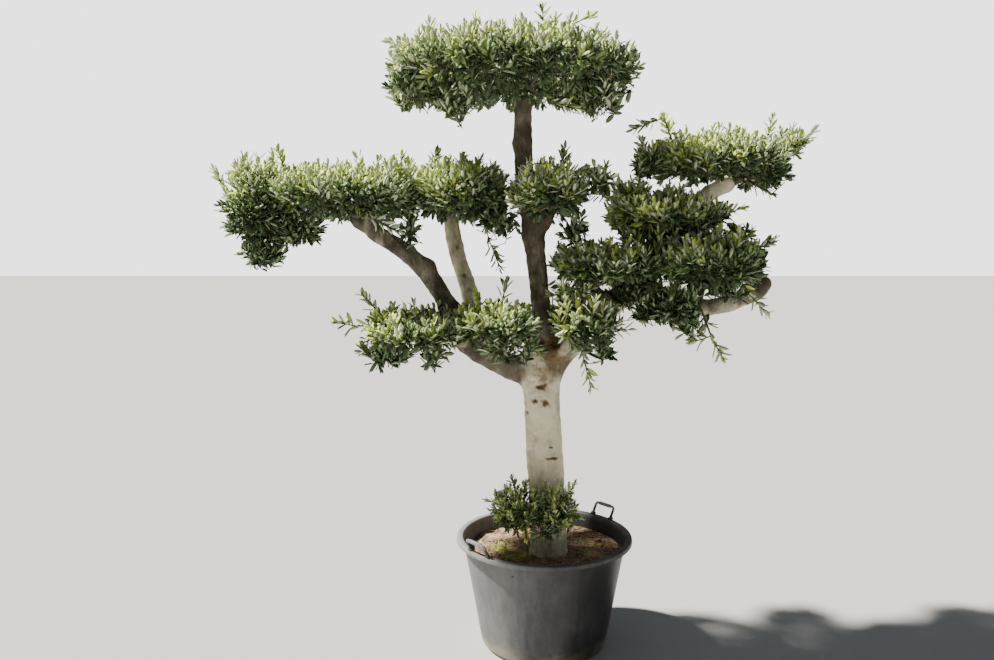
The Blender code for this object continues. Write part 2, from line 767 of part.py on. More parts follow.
def facing(lobe, point):
    """Which way the lobe's surface faces at a point of it."""
    centre, size = (np.array(value) for value in lobe)
    share = (point - centre) / size
    normal = np.sign(share) * np.abs(share) ** (SLAB_POWER - 1) / size
    return normal / np.linalg.norm(normal)


def nearest_on_twigs(point, twigs):
    """The point of the twigs that lies nearest, leaving out the stem."""
    starts = np.array([twigs[knot.parent].spot for knot in twigs[2:]])
    run = np.array([knot.spot for knot in twigs[2:]]) - starts
    share = np.clip(((point - starts) * run).sum(-1) / (run * run).sum(-1), 0, 1)
    spots = starts + share[:, None] * run
    return spots[np.argmin(np.linalg.norm(spots - point, axis=1))]


def cover_lobe(leaves, name, lobe, count, twigs, capsules, rng):
    """Leaves spread evenly over a lobe, each rooted deep in its core or else on the nearest twig."""
    centre, size = (np.array(value) for value in lobe)
    core = [(centre, size * core_share(name))]
    shortest, longest = (share * LEAF_LENGTH for share in LEAF_RANGE)
    for surface in lobe_targets(lobe, count, 1.0, rng.uniform(0, 2 * math.pi)):
        if depth_in(PADS[name].lobes, surface[None])[0] < LEAF_TIPS[0]:
            continue
        normal = facing(lobe, surface)
        side = np.cross(normal, (rng.uniform(-1, 1), rng.uniform(-1, 1), rng.uniform(-1, 1)))
        side = side / np.linalg.norm(side)
        lift = LEAF_LIFT * 0.5 * (1 + normal[2]) * np.array((0.0, 0.0, 1.0))
        tip = centre + rng.uniform(*LEAF_TIPS) * (surface - centre)
        length = LEAF_LENGTH * rng.uniform(*LEAF_VARIES)
        for tilt in LEAF_TILTS:
            heading = math.cos(tilt) * normal + math.sin(tilt) * side + lift
            heading = heading / np.linalg.norm(heading)
            root = tip - length * heading
            if depth_in(core, root[None])[0] < CORE_GRIP:
                break
        else:
            root = nearest_on_twigs(tip - TWIG_LEAN * LEAF_LENGTH * heading, twigs)
            length = np.linalg.norm(tip - root)
            heading = (tip - root) / length
        if shortest < length < longest:
            add_leaf(leaves, name, root, heading, length, LEAF_REACH, capsules, rng)


def tip_leaf(leaves, name, knot, twigs, scale, reach, capsules, rng):
    """A leaf that carries on from a twig's end, as long as it has room for."""
    along = knot.spot - twigs[knot.parent].spot
    along = along / np.linalg.norm(along)
    root = knot.spot - TWIG_TIP_RADIUS * along
    for share in LEAF_CUTS:
        if add_leaf(leaves, name, root, along, share * scale * LEAF_LENGTH, reach, capsules, rng):
            return


def shoot_leaves(leaves, name, knot, twigs, capsules, rng):
    """A leaf at the shoot's tip, and more down it, each a golden angle round from the last."""
    tip_leaf(leaves, name, knot, twigs, SHOOT_LEAF_SCALE, None, capsules, rng)
    back = twigs[knot.parent].spot
    along = (knot.spot - back) / np.linalg.norm(knot.spot - back)
    side = np.cross(along, (0.2, 0.1, 1.0))
    side = side / np.linalg.norm(side)
    other = np.cross(along, side)
    turn = rng.uniform(0, 2 * math.pi)
    for k in range(1, SHOOT_LEAVES):
        root = knot.spot - SHOOT_STEP * k * SHOOT_LEAF_SCALE * LEAF_LENGTH * along
        around = math.cos(turn) * side + math.sin(turn) * other
        heading = (along + SHOOT_SPREAD * around) / math.hypot(1, SHOOT_SPREAD)
        length = SHOOT_LEAF_SCALE * LEAF_LENGTH * rng.uniform(*LEAF_VARIES)
        add_leaf(leaves, name, root, heading, length, None, capsules, rng)
        turn += GOLDEN_ANGLE


def rod(start, end, radii, sides, roll, overlap, home):
    """One straight tapering stretch of twig, carried past each end by a share of its radius there."""
    start_radius, end_radius = (float(radius) for radius in radii)
    way = (Vector(end) - Vector(start)).normalized()
    start = Vector(start) - start_radius * overlap * way
    run = Vector(end) + end_radius * overlap * way - start

    def build(bm):
        spot = Matrix.Translation((0.0, 0.0, run.length / 2)) @ Matrix.Rotation(roll, 4, "Z")
        bmesh.ops.create_cone(
            bm, cap_ends=True, segments=sides, radius1=start_radius, radius2=end_radius,
            depth=run.length, matrix=spot,
        )

    made = place("twig", mesh_from(build), home)
    made.matrix_world = Matrix.Translation(start) @ run.to_track_quat("Z", "Y").to_matrix().to_4x4()
    return made


def core_share(name):
    """The core's size as a share of its lobe's."""
    return np.array(CORE_SHARE) * (LOOSE_CORE if name in LOOSE_PADS else 1.0)


def lobe_core(name, lobe, rng, home, cutters):
    """A lumpy slab inside the lobe, cut clear of every limb that comes near it."""
    centre, size = lobe
    inner = np.array(size) * core_share(name)

    def build(bm):
        bmesh.ops.create_icosphere(bm, subdivisions=2, radius=1.0)
        for vert in bm.verts:
            way = np.array(vert.co)
            way /= (np.abs(way) ** SLAB_POWER).sum() ** (1 / SLAB_POWER)
            vert.co = np.array(centre) + way * inner * (1 + rng.uniform(-CORE_LUMP, CORE_LUMP))

    core = place("core", mesh_from(build), home)
    for limb_name, limb in LIMBS.items():
        near = along_limb(limb, np.linspace(0, 1, 40))
        if depth_in([(centre, inner + 2 * limb.foot_radius)], near).min() < 1.1:
            cutter = limb_tube(limb_name, CORE_CLEARANCE, cutters)
            boolean(core, "DIFFERENCE", cutter)
            settle(core)
            bpy.data.objects.remove(cutter)
    return core


def make_stem(pad, twigs, pieces, cutters):
    """The pad's stem, from just clear of its bough's tip, or from the trunk's side."""
    girth = SPROUT_GIRTH if pad.bough == "trunk" else STEM_GIRTH * LIMBS[pad.bough].tip_radius
    stem = rod(twigs[0].spot, twigs[1].spot, (girth, STEM_END), 6, 0.0, 0.0, pieces)
    if pad.bough == "trunk":
        cutter = limb_tube("trunk", GAP, cutters)
        boolean(stem, "DIFFERENCE", cutter)
        settle(stem)
        bpy.data.objects.remove(cutter)


def pad_targets(name, shares, root, rng):
    """The ends that a pad's twigs grow to: its lobes' middles and rims, nearest first, then its shoots."""
    pad = PADS[name]
    targets = [np.array(centre) for centre, _ in pad.lobes]
    for lobe, share in zip(pad.lobes, shares):
        count = max(3, round(pad.leaves / LEAVES_PER_TWIG * share))
        spots = lobe_targets(lobe, count, TIP_REACH, rng.uniform(0, 2 * math.pi))
        targets += [spot for spot in spots if depth_in(pad.lobes, spot[None])[0] > INNER_REACH]
    targets.sort(key=lambda target: np.linalg.norm(target - root))
    return [(target, False) for target in targets] + [(np.array(shoot), True) for shoot in pad.shoots]


def make_pad(name, capsules, leaf, home, cutters):
    """One pad: stem, core, twigs and leaves joined into one body by one union."""
    pad = PADS[name]
    rng = random.Random(name)
    areas = [math.prod(size) ** (2 / 3) for _, size in pad.lobes]
    shares = [area / sum(areas) for area in areas]
    twigs = grow_twigs(name, pad_targets(name, shares, stem_of(pad)[0], rng), capsules)

    pieces = collection(name + "_pieces")
    make_stem(pad, twigs, pieces, cutters)
    longest = max(knot.way for knot in twigs)
    cores = [(centre, np.array(size) * core_share(name)) for centre, size in pad.lobes]
    for k, knot in enumerate(twigs[2:], start=2):
        parent = twigs[knot.parent]
        if depth_in(cores, np.array([knot.spot, parent.spot])).max() < BURIED:
            continue
        worn = [(TWIG_RADIUS - TWIG_TIP_RADIUS) * end.way / longest for end in (parent, knot)]
        radii = [TWIG_RADIUS - loss for loss in worn]
        rod(parent.spot, knot.spot, radii, 3, k * GOLDEN_ANGLE, ROD_OVERLAP, pieces)

    leaves = []
    parents = {knot.parent for knot in twigs}
    for k, knot in enumerate(twigs[2:], start=2):
        if knot.is_shoot:
            shoot_leaves(leaves, name, knot, twigs, capsules, rng)
        elif k not in parents and depth_in(cores, knot.spot[None])[0] > 1:
            tip_leaf(leaves, name, knot, twigs, 1.0, LEAF_REACH, capsules, rng)
    for lobe, share in zip(pad.lobes, shares):
        cover_lobe(leaves, name, lobe, round(pad.leaves * share), twigs, capsules, rng)
    for matrix, _ in leaves:
        place("leaf", leaf, pieces).matrix_world = matrix

    body = lobe_core(name, pad.lobes[0], rng, home, cutters)
    body.name = name
    for lobe in pad.lobes[1:]:
        lobe_core(name, lobe, rng, pieces, cutters)
    boolean(body, "UNION", pieces).solver = "MANIFOLD"
    settle(body)
    for piece in list(pieces.objects):
        bpy.data.objects.remove(piece)
    bpy.data.collections.remove(pieces)
    finish(body, LEAF_GREEN, 0.6)
    return body


def make_tree():
    start_empty()
    tree = collection("potted_olive_tree")
    cutters = collection("cutters")
    make_tub(tree, cutters)
    make_soil(tree)
    for name, turn in zip(("handle_right", "handle_left"), HANDLE_TURNS):
        make_handle(name, turn, tree)
    for name in LIMBS:
        make_limb(name, tree, cutters)
    capsules = limb_capsules()
    leaf = mesh_from(lambda bm: bmesh.ops.create_uvsphere(bm, u_segments=4, v_segments=2, radius=1.0))
    for name in PADS:
        make_pad(name, capsules, leaf, tree, cutters)


make_tree()
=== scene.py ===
"""The looks of a potted olive tree: bark with its scars and knobs, pads of twigs and leaves, soil and a dusty tub.

X runs to the right, Y to the back and Z up, in metres, from the centre of the tub's underside. The
limbs and pads use the sizes of the part's source, and the twigs grow by the same seeded rule.
"""

import json
import math
import random
from collections import namedtuple

import bmesh
import bpy
import numpy as np
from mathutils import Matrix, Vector

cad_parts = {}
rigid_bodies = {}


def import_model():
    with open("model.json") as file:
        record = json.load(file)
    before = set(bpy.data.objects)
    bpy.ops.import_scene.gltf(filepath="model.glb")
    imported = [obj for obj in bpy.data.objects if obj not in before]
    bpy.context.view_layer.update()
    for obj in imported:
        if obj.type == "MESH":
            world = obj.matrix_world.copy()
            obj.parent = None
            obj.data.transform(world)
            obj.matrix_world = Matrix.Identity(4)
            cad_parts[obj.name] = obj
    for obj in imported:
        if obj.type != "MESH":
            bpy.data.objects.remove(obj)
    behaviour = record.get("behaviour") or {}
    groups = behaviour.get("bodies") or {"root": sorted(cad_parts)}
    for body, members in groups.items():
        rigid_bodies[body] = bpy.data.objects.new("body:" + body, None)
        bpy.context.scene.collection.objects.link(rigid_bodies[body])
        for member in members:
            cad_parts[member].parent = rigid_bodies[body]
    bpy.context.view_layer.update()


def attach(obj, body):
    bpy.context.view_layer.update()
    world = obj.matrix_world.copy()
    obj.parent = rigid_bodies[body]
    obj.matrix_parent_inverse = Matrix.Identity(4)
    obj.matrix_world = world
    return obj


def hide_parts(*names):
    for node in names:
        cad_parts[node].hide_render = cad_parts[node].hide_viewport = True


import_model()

UP = np.array((0.0, 0.0, 1.0))
# The way to the key light: left of the camera, a little behind the plant
SUN = np.array((-0.62, 0.08, 0.78))
GOLDEN_ANGLE = math.pi * (3.0 - math.sqrt(5.0))

# The tub, its handles and its soil
TUB_HEIGHT = 0.443
RIM_RADIUS = 0.350
RIM_TOP_WIDTH = 0.025
SKIRT_HEIGHT = 0.018
SHOULDER_RADIUS = 0.312
SHOULDER_HEIGHT = 0.360
BASE_RADIUS = 0.252
BASE_CORNER = 0.016
TUB_WALL = 0.004
TUB_SIDES = 160
DRAIN_HOLES = 8
DRAIN_RADIUS = 0.009
DRAIN_TURN = 0.4
HANDLE_TURNS = {"handle_right": math.radians(40.3), "handle_left": math.radians(-139.3)}
HANDLE_SPREAD = 0.100
HANDLE_INSET = 0.0065
HANDLE_RISE = 0.047
HANDLE_LEAN = math.tan(math.radians(27.0))
SOIL_SEAT = 0.392
SOIL_EDGE = 0.383
SOIL_SIDES = 180

# The trunk's root flare, the swelling at its fork, and the ends that close over in a dome
FLARE = 0.006
FLARE_HEIGHT = 0.040
FORK_SWELL = 0.004
FORK_HEIGHT = 0.12
DOMES = {"trunk": 0.070, "right_bough_outer": 0.030}
LIMB_CROOK = 0.005
VOXEL = 0.0045
FILLET = 0.018

# A limb runs from its foot to its tip, leaving and arriving along two given vectors. Its age is how
# grey its bark has turned; for the lower left bough it is partly painted shade.
Limb = namedtuple("Limb", "foot leaving tip arriving foot_radius tip_radius age")

LIMBS = {
    "trunk": Limb(
        (0.014, -0.050, SOIL_SEAT), (0.00, 0.00, 0.75),
        (-0.024, -0.010, 1.200), (-0.02, 0.02, 0.70),
        0.071, 0.069, 0.05,
    ),
    "leader": Limb(
        (0.004, 0.005, 1.140), (-0.05, 0.00, 1.00),
        (-0.090, 0.020, 2.140), (0.02, 0.00, 1.00),
        0.041, 0.035, 0.80,
    ),
    # This bough's high age is partly painted shade, for it lies in the shade of the pads above the fork.
    "left_bough_lower": Limb(
        (-0.005, -0.008, 1.118), (-0.44, 0.00, -0.10),
        (-0.365, 0.010, 1.315), (-0.12, 0.01, 0.30),
        0.050, 0.042, 0.85,
    ),
    "left_bough_upper": Limb(
        (-0.365, 0.010, 1.315), (-0.14, 0.01, 0.50),
        (-0.735, 0.050, 1.700), (-0.48, 0.03, 0.30),
        0.036, 0.033, 0.78,
    ),
    "second_bough": Limb(
        (-0.235, 0.010, 1.190), (-0.12, 0.16, 0.42),
        (-0.378, 0.200, 1.700), (-0.08, 0.08, 0.50),
        0.034, 0.031, 0.36,
    ),
    "right_bough": Limb(
        (0.002, -0.008, 1.130), (0.30, -0.02, 0.12),
        (0.375, -0.030, 1.440), (0.30, 0.00, -0.02),
        0.046, 0.040, 0.45,
    ),
    "right_bough_outer": Limb(
        (0.375, -0.030, 1.440), (0.40, 0.00, -0.28),
        (0.803, -0.160, 1.460), (0.28, -0.06, 0.34),
        0.036, 0.029, 0.62,
    ),
    "right_bough_return": Limb(
        (0.782, -0.150, 1.450), (0.00, 0.04, 0.10),
        (0.735, -0.070, 1.525), (-0.10, 0.06, 0.05),
        0.0245, 0.019, 0.80,
    ),
    "right_upper_bough": Limb(
        (0.330, -0.028, 1.420), (0.22, 0.12, 0.30),
        (0.740, 0.170, 1.845), (0.36, 0.05, 0.12),
        0.038, 0.032, 0.25,
    ),
    "lower_left_spur": Limb(
        (-0.300, 0.005, 1.230), (-0.03, -0.20, -0.02),
        (-0.390, -0.150, 1.262), (-0.12, -0.06, 0.10),
        0.022, 0.016, 0.65,
    ),
    "centre_spur": Limb(
        (0.020, -0.015, 1.165), (0.04, -0.16, 0.05),
        (0.085, -0.165, 1.255), (0.03, -0.05, 0.14),
        0.024, 0.017, 0.60,
    ),
    "mid_right_spur": Limb(
        (-0.062, 0.014, 1.640), (0.12, -0.06, 0.08),
        (0.020, -0.060, 1.735), (0.02, -0.04, 0.10),
        0.022, 0.017, 0.75,
    ),
    "right_inner_spur": Limb(
        (0.215, -0.022, 1.350), (-0.05, -0.02, 0.12),
        (0.190, -0.030, 1.462), (0.00, 0.00, 0.12),
        0.024, 0.018, 0.60,
    ),
    "right_mid_spur": Limb(
        (0.470, 0.040, 1.560), (-0.10, 0.02, 0.06),
        (0.420, 0.050, 1.650), (0.00, 0.02, 0.12),
        0.024, 0.018, 0.60,
    ),
}

# A lobe is a rounded slab: its centre and its three half widths. A shoot is the tip of a long twig.
Pad = namedtuple("Pad", "bough lobes shoots leaves")

PADS = {
    "top_pad": Pad(
        "leader",
        [((-0.133, 0.000, 2.262), (0.479, 0.450, 0.140))],
        [(-0.022, -0.030, 2.490), (-0.180, 0.060, 2.445), (0.170, -0.050, 2.455),
         (-0.610, 0.020, 2.370),
         (0.364, 0.020, 2.285), (0.100, -0.180, 2.090), (-0.330, -0.120, 2.095)],
        60,
    ),
    "left_pad": Pad(
        "left_bough_upper",
        [((-0.780, 0.050, 1.798), (0.330, 0.400, 0.118)),
         ((-1.090, 0.000, 1.745), (0.140, 0.300, 0.180))],
        [(-1.286, 0.000, 1.900), (-1.225, -0.060, 1.665), (-1.080, 0.080, 1.545),
         (-1.020, -0.050, 1.965),
         (-0.560, -0.080, 1.650)],
        52,
    ),
    "mid_left_pad": Pad(
        "second_bough",
        [((-0.330, 0.140, 1.811), (0.208, 0.380, 0.133))],
        [(-0.420, 0.060, 1.965), (-0.175, -0.060, 1.500)],
        28,
    ),
    "mid_right_pad": Pad(
        "mid_right_spur",
        [((0.004, -0.060, 1.797), (0.168, 0.340, 0.120))],
        [(0.065, -0.090, 1.975), (0.205, -0.060, 1.885), (0.140, -0.100, 1.640)],
        22,
    ),
    "lower_left_pad": Pad(
        "lower_left_spur",
        [((-0.485, -0.200, 1.300), (0.220, 0.270, 0.090)),
         ((-0.200, -0.200, 1.320), (0.180, 0.220, 0.098))],
        [(-0.795, -0.180, 1.318), (-0.690, -0.200, 1.430), (-0.610, -0.140, 1.165),
         (-0.150, -0.180, 1.475)],
        36,
    ),
    "centre_pad": Pad(
        "centre_spur",
        [((0.135, -0.200, 1.325), (0.148, 0.200, 0.112))],
        [(0.162, -0.220, 1.065), (0.312, -0.200, 1.290), (0.040, -0.300, 1.470)],
        17,
    ),
    "right_inner_pad": Pad(
        "right_inner_spur",
        [((0.240, -0.010, 1.530), (0.240, 0.360, 0.096))],
        [(0.060, -0.060, 1.690), (0.240, 0.130, 1.680)],
        30,
    ),
    "right_outer_pad": Pad(
        "right_bough_return",
        [((0.600, -0.120, 1.545), (0.218, 0.340, 0.112)),
         ((0.450, -0.230, 1.390), (0.118, 0.170, 0.094))],
        [(0.868, -0.100, 1.625), (0.628, -0.280, 1.190), (0.800, -0.240, 1.345), (0.520, -0.240, 1.250)],
        38,
    ),
    "right_mid_pad": Pad(
        "right_mid_spur",
        [((0.482, 0.140, 1.722), (0.256, 0.380, 0.100))],
        [(0.240, 0.060, 1.875), (0.800, 0.100, 1.745), (0.390, 0.280, 1.870)],
        31,
    ),
    "right_upper_pad": Pad(
        "right_upper_bough",
        [((0.690, 0.200, 1.948), (0.290, 0.360, 0.108)),
         ((0.885, 0.220, 1.898), (0.122, 0.240, 0.096))],
        [(1.088, 0.150, 2.065), (0.925, 0.200, 2.120), (0.470, 0.130, 2.110), (0.345, 0.140, 2.055),
         (0.930, 0.160, 1.800)],
        41,
    ),
    "left_sprouts": Pad(
        "trunk",
        [((-0.105, -0.155, 0.600), (0.120, 0.105, 0.098))],
        [(-0.245, -0.150, 0.632), (-0.135, -0.130, 0.720), (-0.080, -0.240, 0.500)],
        11,
    ),
    "right_sprouts": Pad(
        "trunk",
        [((0.050, -0.185, 0.598), (0.078, 0.090, 0.090))],
        [(0.112, -0.150, 0.705), (0.140, -0.170, 0.560)],
        7,
    ),
}

# How a pad grows. Reaches count from a lobe's centre, where its surface is 1.
SLAB_POWER = 2.5
TIP_REACH = 0.80
INNER_REACH = 0.72
STEM_LENGTH = 0.07
SPROUT_STEM = 0.154
SPROUT_ROOT = 0.520
WAY_WEIGHT = 0.35
TWIG_SAG = 0.06
STRAIGHT_TWIG = 0.16
TWIG_CLEARANCE = 0.0135
CLEAR_FROM = 0.15
NEXT_BEST = 6
LEAVES_PER_TWIG = 7
FINER = 5
TWIG_TIP = 0.0021
TWIG_GIRTH = 0.45

# The sprays: leafy shoots at the twigs' ends
SPRAYS_PER_M2 = 760
LOOSE_PADS = {"centre_pad": 0.55, "mid_right_pad": 0.75, "lower_left_pad": 0.85, "right_outer_pad": 0.9,
              "left_sprouts": 0.60, "right_sprouts": 0.50}
SPRAY_LENGTH = (0.062, 0.110)
SPRAY_PAIRS = (3, 7)
SPRAY_MARGIN = 0.030
PROUD = (1.05, 1.55)
LEAF_LENGTH = 0.055
LEAF_ASPECT = 0.36
SPROUT_LEAF = 0.62
LEAF_CLEARANCE = 0.002

# Looser bunches that hang from a pad or stand on it: centre and half widths, as for a lobe
TUFTS = {
    "top_pad": [
        ((-0.500, 0.000, 2.190), (0.090, 0.220, 0.050)), ((-0.340, -0.100, 2.125), (0.060, 0.100, 0.030)),
        ((0.200, 0.000, 2.165), (0.090, 0.200, 0.035)),
    ],
    "left_pad": [
        ((-0.530, 0.060, 1.895), (0.100, 0.180, 0.035)), ((-0.530, 0.000, 1.655), (0.030, 0.050, 0.050)),
        ((-1.100, 0.000, 1.585), (0.080, 0.120, 0.050)), ((-0.940, 0.000, 1.665), (0.070, 0.150, 0.050)),
    ],
    "mid_left_pad": [((-0.170, 0.050, 1.700), (0.090, 0.150, 0.040))],
    "mid_right_pad": [
        ((0.190, -0.060, 1.840), (0.050, 0.120, 0.050)), ((0.110, -0.060, 1.660), (0.050, 0.100, 0.045)),
    ],
    "lower_left_pad": [
        ((-0.600, -0.200, 1.205), (0.090, 0.120, 0.035)), ((-0.430, -0.200, 1.200), (0.050, 0.100, 0.030)),
        ((-0.130, -0.220, 1.235), (0.120, 0.100, 0.045)),
    ],
    "centre_pad": [
        ((0.180, -0.200, 1.235), (0.070, 0.100, 0.035)), ((0.030, -0.150, 1.460), (0.040, 0.100, 0.070)),
        ((0.110, -0.180, 1.430), (0.070, 0.120, 0.030)),
    ],
    "right_outer_pad": [
        ((0.670, -0.160, 1.455), (0.090, 0.120, 0.035)), ((0.730, 0.000, 1.650), (0.070, 0.100, 0.040)),
        ((0.350, -0.220, 1.365), (0.045, 0.080, 0.050)), ((0.530, -0.220, 1.315), (0.050, 0.080, 0.025)),
    ],
    "right_mid_pad": [
        ((0.330, 0.080, 1.800), (0.080, 0.120, 0.050)), ((0.450, -0.050, 1.625), (0.200, 0.150, 0.030)),
    ],
    "right_inner_pad": [((0.330, -0.140, 1.430), (0.090, 0.080, 0.035))],
    "right_upper_pad": [
        ((0.410, 0.150, 1.930), (0.050, 0.150, 0.060)), ((0.990, 0.200, 2.010), (0.060, 0.120, 0.050)),
    ],
    "left_sprouts": [((-0.010, -0.175, 0.560), (0.080, 0.060, 0.080))],
    "right_sprouts": [((0.030, -0.165, 0.640), (0.060, 0.050, 0.050))],
}
TUFT_SHARE = 0.42
# How much paler, or deeper, a pad's leaves are tinted than the others': mostly painted light where a pad stands in the
# light and painted shade where others shade it, and a paler green for the sprouts
PAD_TINT_AND_PAINTED_LIGHT = {"right_mid_pad": 0.20, "right_upper_pad": 0.12, "mid_left_pad": 0.06, "centre_pad": 0.05,
         "right_outer_pad": -0.06, "right_inner_pad": -0.06, "left_sprouts": 0.10, "right_sprouts": 0.10}
# Places where nothing grows: centre and half widths
CLEARINGS = [
    ((-1.235, 0.000, 1.755), (0.050, 0.300, 0.085)), ((-0.690, -0.200, 1.310), (0.035, 0.300, 0.060)),
    ((0.690, 0.000, 1.800), (0.055, 0.250, 0.040)), ((0.485, 0.000, 1.846), (0.100, 0.400, 0.018)),
]

# One knot of a twig: where it is, the knot it grows from, and how long the way is back to the stem
Knot = namedtuple("Knot", "spot parent way is_shoot")


def unit(vectors):
    """Vectors scaled to a length of 1."""
    return vectors / np.maximum(np.linalg.norm(vectors, axis=-1, keepdims=True), 1e-12)


def fade(value, low, high):
    """0 below low, 1 above high, and a smooth S between."""
    t = np.clip((value - low) / (high - low), 0.0, 1.0)
    return t * t * (3.0 - 2.0 * t)


def rumple(points, size, seed, waves=7):
    """Soft noise from -1 to 1: the mean of sine waves about one size long that run in seeded directions."""
    rng = np.random.default_rng(seed)
    ways = unit(rng.normal(size=(waves, 3))) * rng.uniform(0.7, 1.5, (waves, 1)) * 2 * math.pi / size
    return np.sin(points @ ways.T + rng.uniform(0, 2 * math.pi, waves)).sum(-1) / math.sqrt(waves) / 1.6


def place_piece(name, points, faces, surfaces, body_slot, stands_for=(), slots=None, soft_angle=None):
    """Puts whole arrays of points and of equal-sided faces into a mesh that rides on the plant."""
    mesh = bpy.data.meshes.new(name)
    mesh.vertices.add(len(points))
    mesh.vertices.foreach_set("co", np.asarray(points, np.float32).ravel())
    mesh.loops.add(faces.size)
    mesh.loops.foreach_set("vertex_index", np.asarray(faces, np.int32).ravel())
    mesh.polygons.add(len(faces))
    mesh.polygons.foreach_set("loop_start", np.arange(0, faces.size, faces.shape[1], dtype=np.int32))
    for surface in surfaces:
        mesh.materials.append(surface)
    if slots is not None:
        mesh.polygons.foreach_set("material_index", np.asarray(slots, np.int32))
    mesh.update(calc_edges=True)
    if soft_angle:
        mesh.shade_smooth()
        mesh.set_sharp_from_angle(angle=math.radians(soft_angle))
    piece = bpy.data.objects.new(name, mesh)
    bpy.context.scene.collection.objects.link(piece)
    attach(piece, "root")
    if stands_for:
        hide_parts(*stands_for)
    return piece


def grid_faces(rows, columns, offset=0, closed=True):
    """Quads between the neighbouring rows of a grid, whose columns close into a ring unless told otherwise."""
    row, column = np.meshgrid(np.arange(rows - 1), np.arange(columns if closed else columns - 1), indexing="ij")
    after = (column + 1) % columns
    quads = np.stack([row * columns + column, row * columns + after, (row + 1) * columns + after,
                      (row + 1) * columns + column], axis=-1)
    return quads.reshape(-1, 4) + offset


def joined(parts):
    """Several (points, faces) as one, with the face numbers moved along."""
    starts = np.cumsum([0] + [len(points) for points, _ in parts[:-1]])
    return np.concatenate([p for p, _ in parts]), np.concatenate([f + s for (_, f), s in zip(parts, starts)])


def turned(profile, sides):
    """A profile of (radius, height) carried round the Z axis; a radius of 0 at its ends closes the form."""
    profile = np.asarray(profile, float)
    angle = np.linspace(0, 2 * math.pi, sides, endpoint=False)
    ring = np.stack([np.cos(angle), np.sin(angle)], axis=-1)
    points = np.concatenate([profile[:, None, :1] * ring, np.broadcast_to(profile[:, None, 1:], (len(profile), sides, 1))], axis=-1)
    return points.reshape(-1, 3), grid_faces(len(profile), sides)


def rounded(corners, radii, steps=4):
    """A profile whose corners are each replaced by a short arc-like curve of its own radius."""
    corners = np.asarray(corners, float)
    made = [corners[0]]
    for before, corner, after, radius in zip(corners, corners[1:], corners[2:], radii):
        to, away = before - corner, after - corner
        reach = min(radius, 0.45 * np.linalg.norm(to), 0.45 * np.linalg.norm(away))
        start, end = corner + reach * unit(to), corner + reach * unit(away)
        for t in np.linspace(0, 1, steps + 1):
            made.append((1 - t) ** 2 * start + 2 * t * (1 - t) * corner + t**2 * end)
    made.append(corners[-1])
    return np.array(made)


class Worked:
    """A value worked out by a material's nodes: plain arithmetic on it adds Math nodes."""

    def __init__(self, tree, socket):
        self.tree = tree
        self.socket = socket

    def node(self, kind, inputs, output=0, **settings):
        """Adds a node of any other kind, with its settings and the inputs given by name or number."""
        made = self.tree.nodes.new(kind)
        for name, value in settings.items():
            setattr(made, name, value)
        for key, value in inputs.items():
            if isinstance(value, Worked):
                self.tree.links.new(value.socket, made.inputs[key])
            else:
                made.inputs[key].default_value = value
        return Worked(self.tree, made.outputs[output])

    def maths(self, operation, *values):
        return self.node("ShaderNodeMath", dict(enumerate(values)), operation=operation)

    def __add__(self, other):
        return self.maths("ADD", self, other)

    def __radd__(self, other):
        return self.maths("ADD", other, self)

    def __sub__(self, other):
        return self.maths("SUBTRACT", self, other)

    def __rsub__(self, other):
        return self.maths("SUBTRACT", other, self)

    def __mul__(self, other):
        return self.maths("MULTIPLY", self, other)

    def __rmul__(self, other):
        return self.maths("MULTIPLY", other, self)

    def __truediv__(self, other):
        return self.maths("DIVIDE", self, other)

    def __rtruediv__(self, other):
        return self.maths("DIVIDE", other, self)

    def __pow__(self, other):
        return self.maths("POWER", self, other)

    def between(self, low, high):
        """0 where the value is low or less, 1 where it is high or more, and smooth between."""
        inputs = {0: self, 1: low, 2: high}
        return self.node("ShaderNodeMapRange", inputs, interpolation_type="SMOOTHSTEP")

    def tint(self, first, second):
        """The first colour where the value is 0 and the second where it is 1."""
        return self.node("ShaderNodeMix", {0: self, 6: first, 7: second}, output=2, data_type="RGBA")

    def stretched(self, x, y, z):
        """The same coordinates with each axis scaled."""
        return self.node("ShaderNodeVectorMath", {0: self, 1: (x, y, z)}, operation="MULTIPLY")

    def noise(self, scale, detail=3.0, roughness=0.55):
        return self.node("ShaderNodeTexNoise", {"Vector": self, "Scale": scale, "Detail": detail, "Roughness": roughness})

    def axis(self, number):
        return self.node("ShaderNodeSeparateXYZ", {0: self}, output=number)


def rgb(red, green, blue):
    """A colour as it looks on a screen, from 0 to 255, as the shader wants it."""
    shares = np.array((red, green, blue)) / 255
    return (*np.where(shares < 0.04045, shares / 12.92, ((shares + 0.055) / 1.055) ** 2.4), 1.0)


def new_surface(name, colour=(0.5, 0.5, 0.5, 1.0), roughness=0.6, specular=0.5):
    """A material with its shader's fixed values, and the Object coordinates that its pattern starts from."""
    material = bpy.data.materials.new(name)
    material.use_nodes = True
    tree = material.node_tree
    shader = tree.nodes["Principled BSDF"]
    shader.inputs["Base Color"].default_value = colour
    shader.inputs["Roughness"].default_value = roughness
    shader.inputs["Specular IOR Level"].default_value = specular
    return material, shader, Worked(tree, tree.nodes.new("ShaderNodeTexCoord").outputs["Object"])


def wear(shader, here, colour=None, roughness=None, height=None, depth=0.001, strength=0.6):
    """Feeds the shader its worked-out colour, roughness and fine relief of a given depth in metres."""
    for name, value in (("Base Color", colour), ("Roughness", roughness)):
        if value is not None:
            here.tree.links.new(value.socket, shader.inputs[name])
    if height is not None:
        bump = here.node("ShaderNodeBump", {"Height": height, "Distance": depth, "Strength": strength})
        here.tree.links.new(bump.socket, shader.inputs["Normal"])


def attribute(here, name):
    """A number that the mesh carries at each of its points."""
    return here.node("ShaderNodeAttribute", {}, output=2, attribute_name=name)


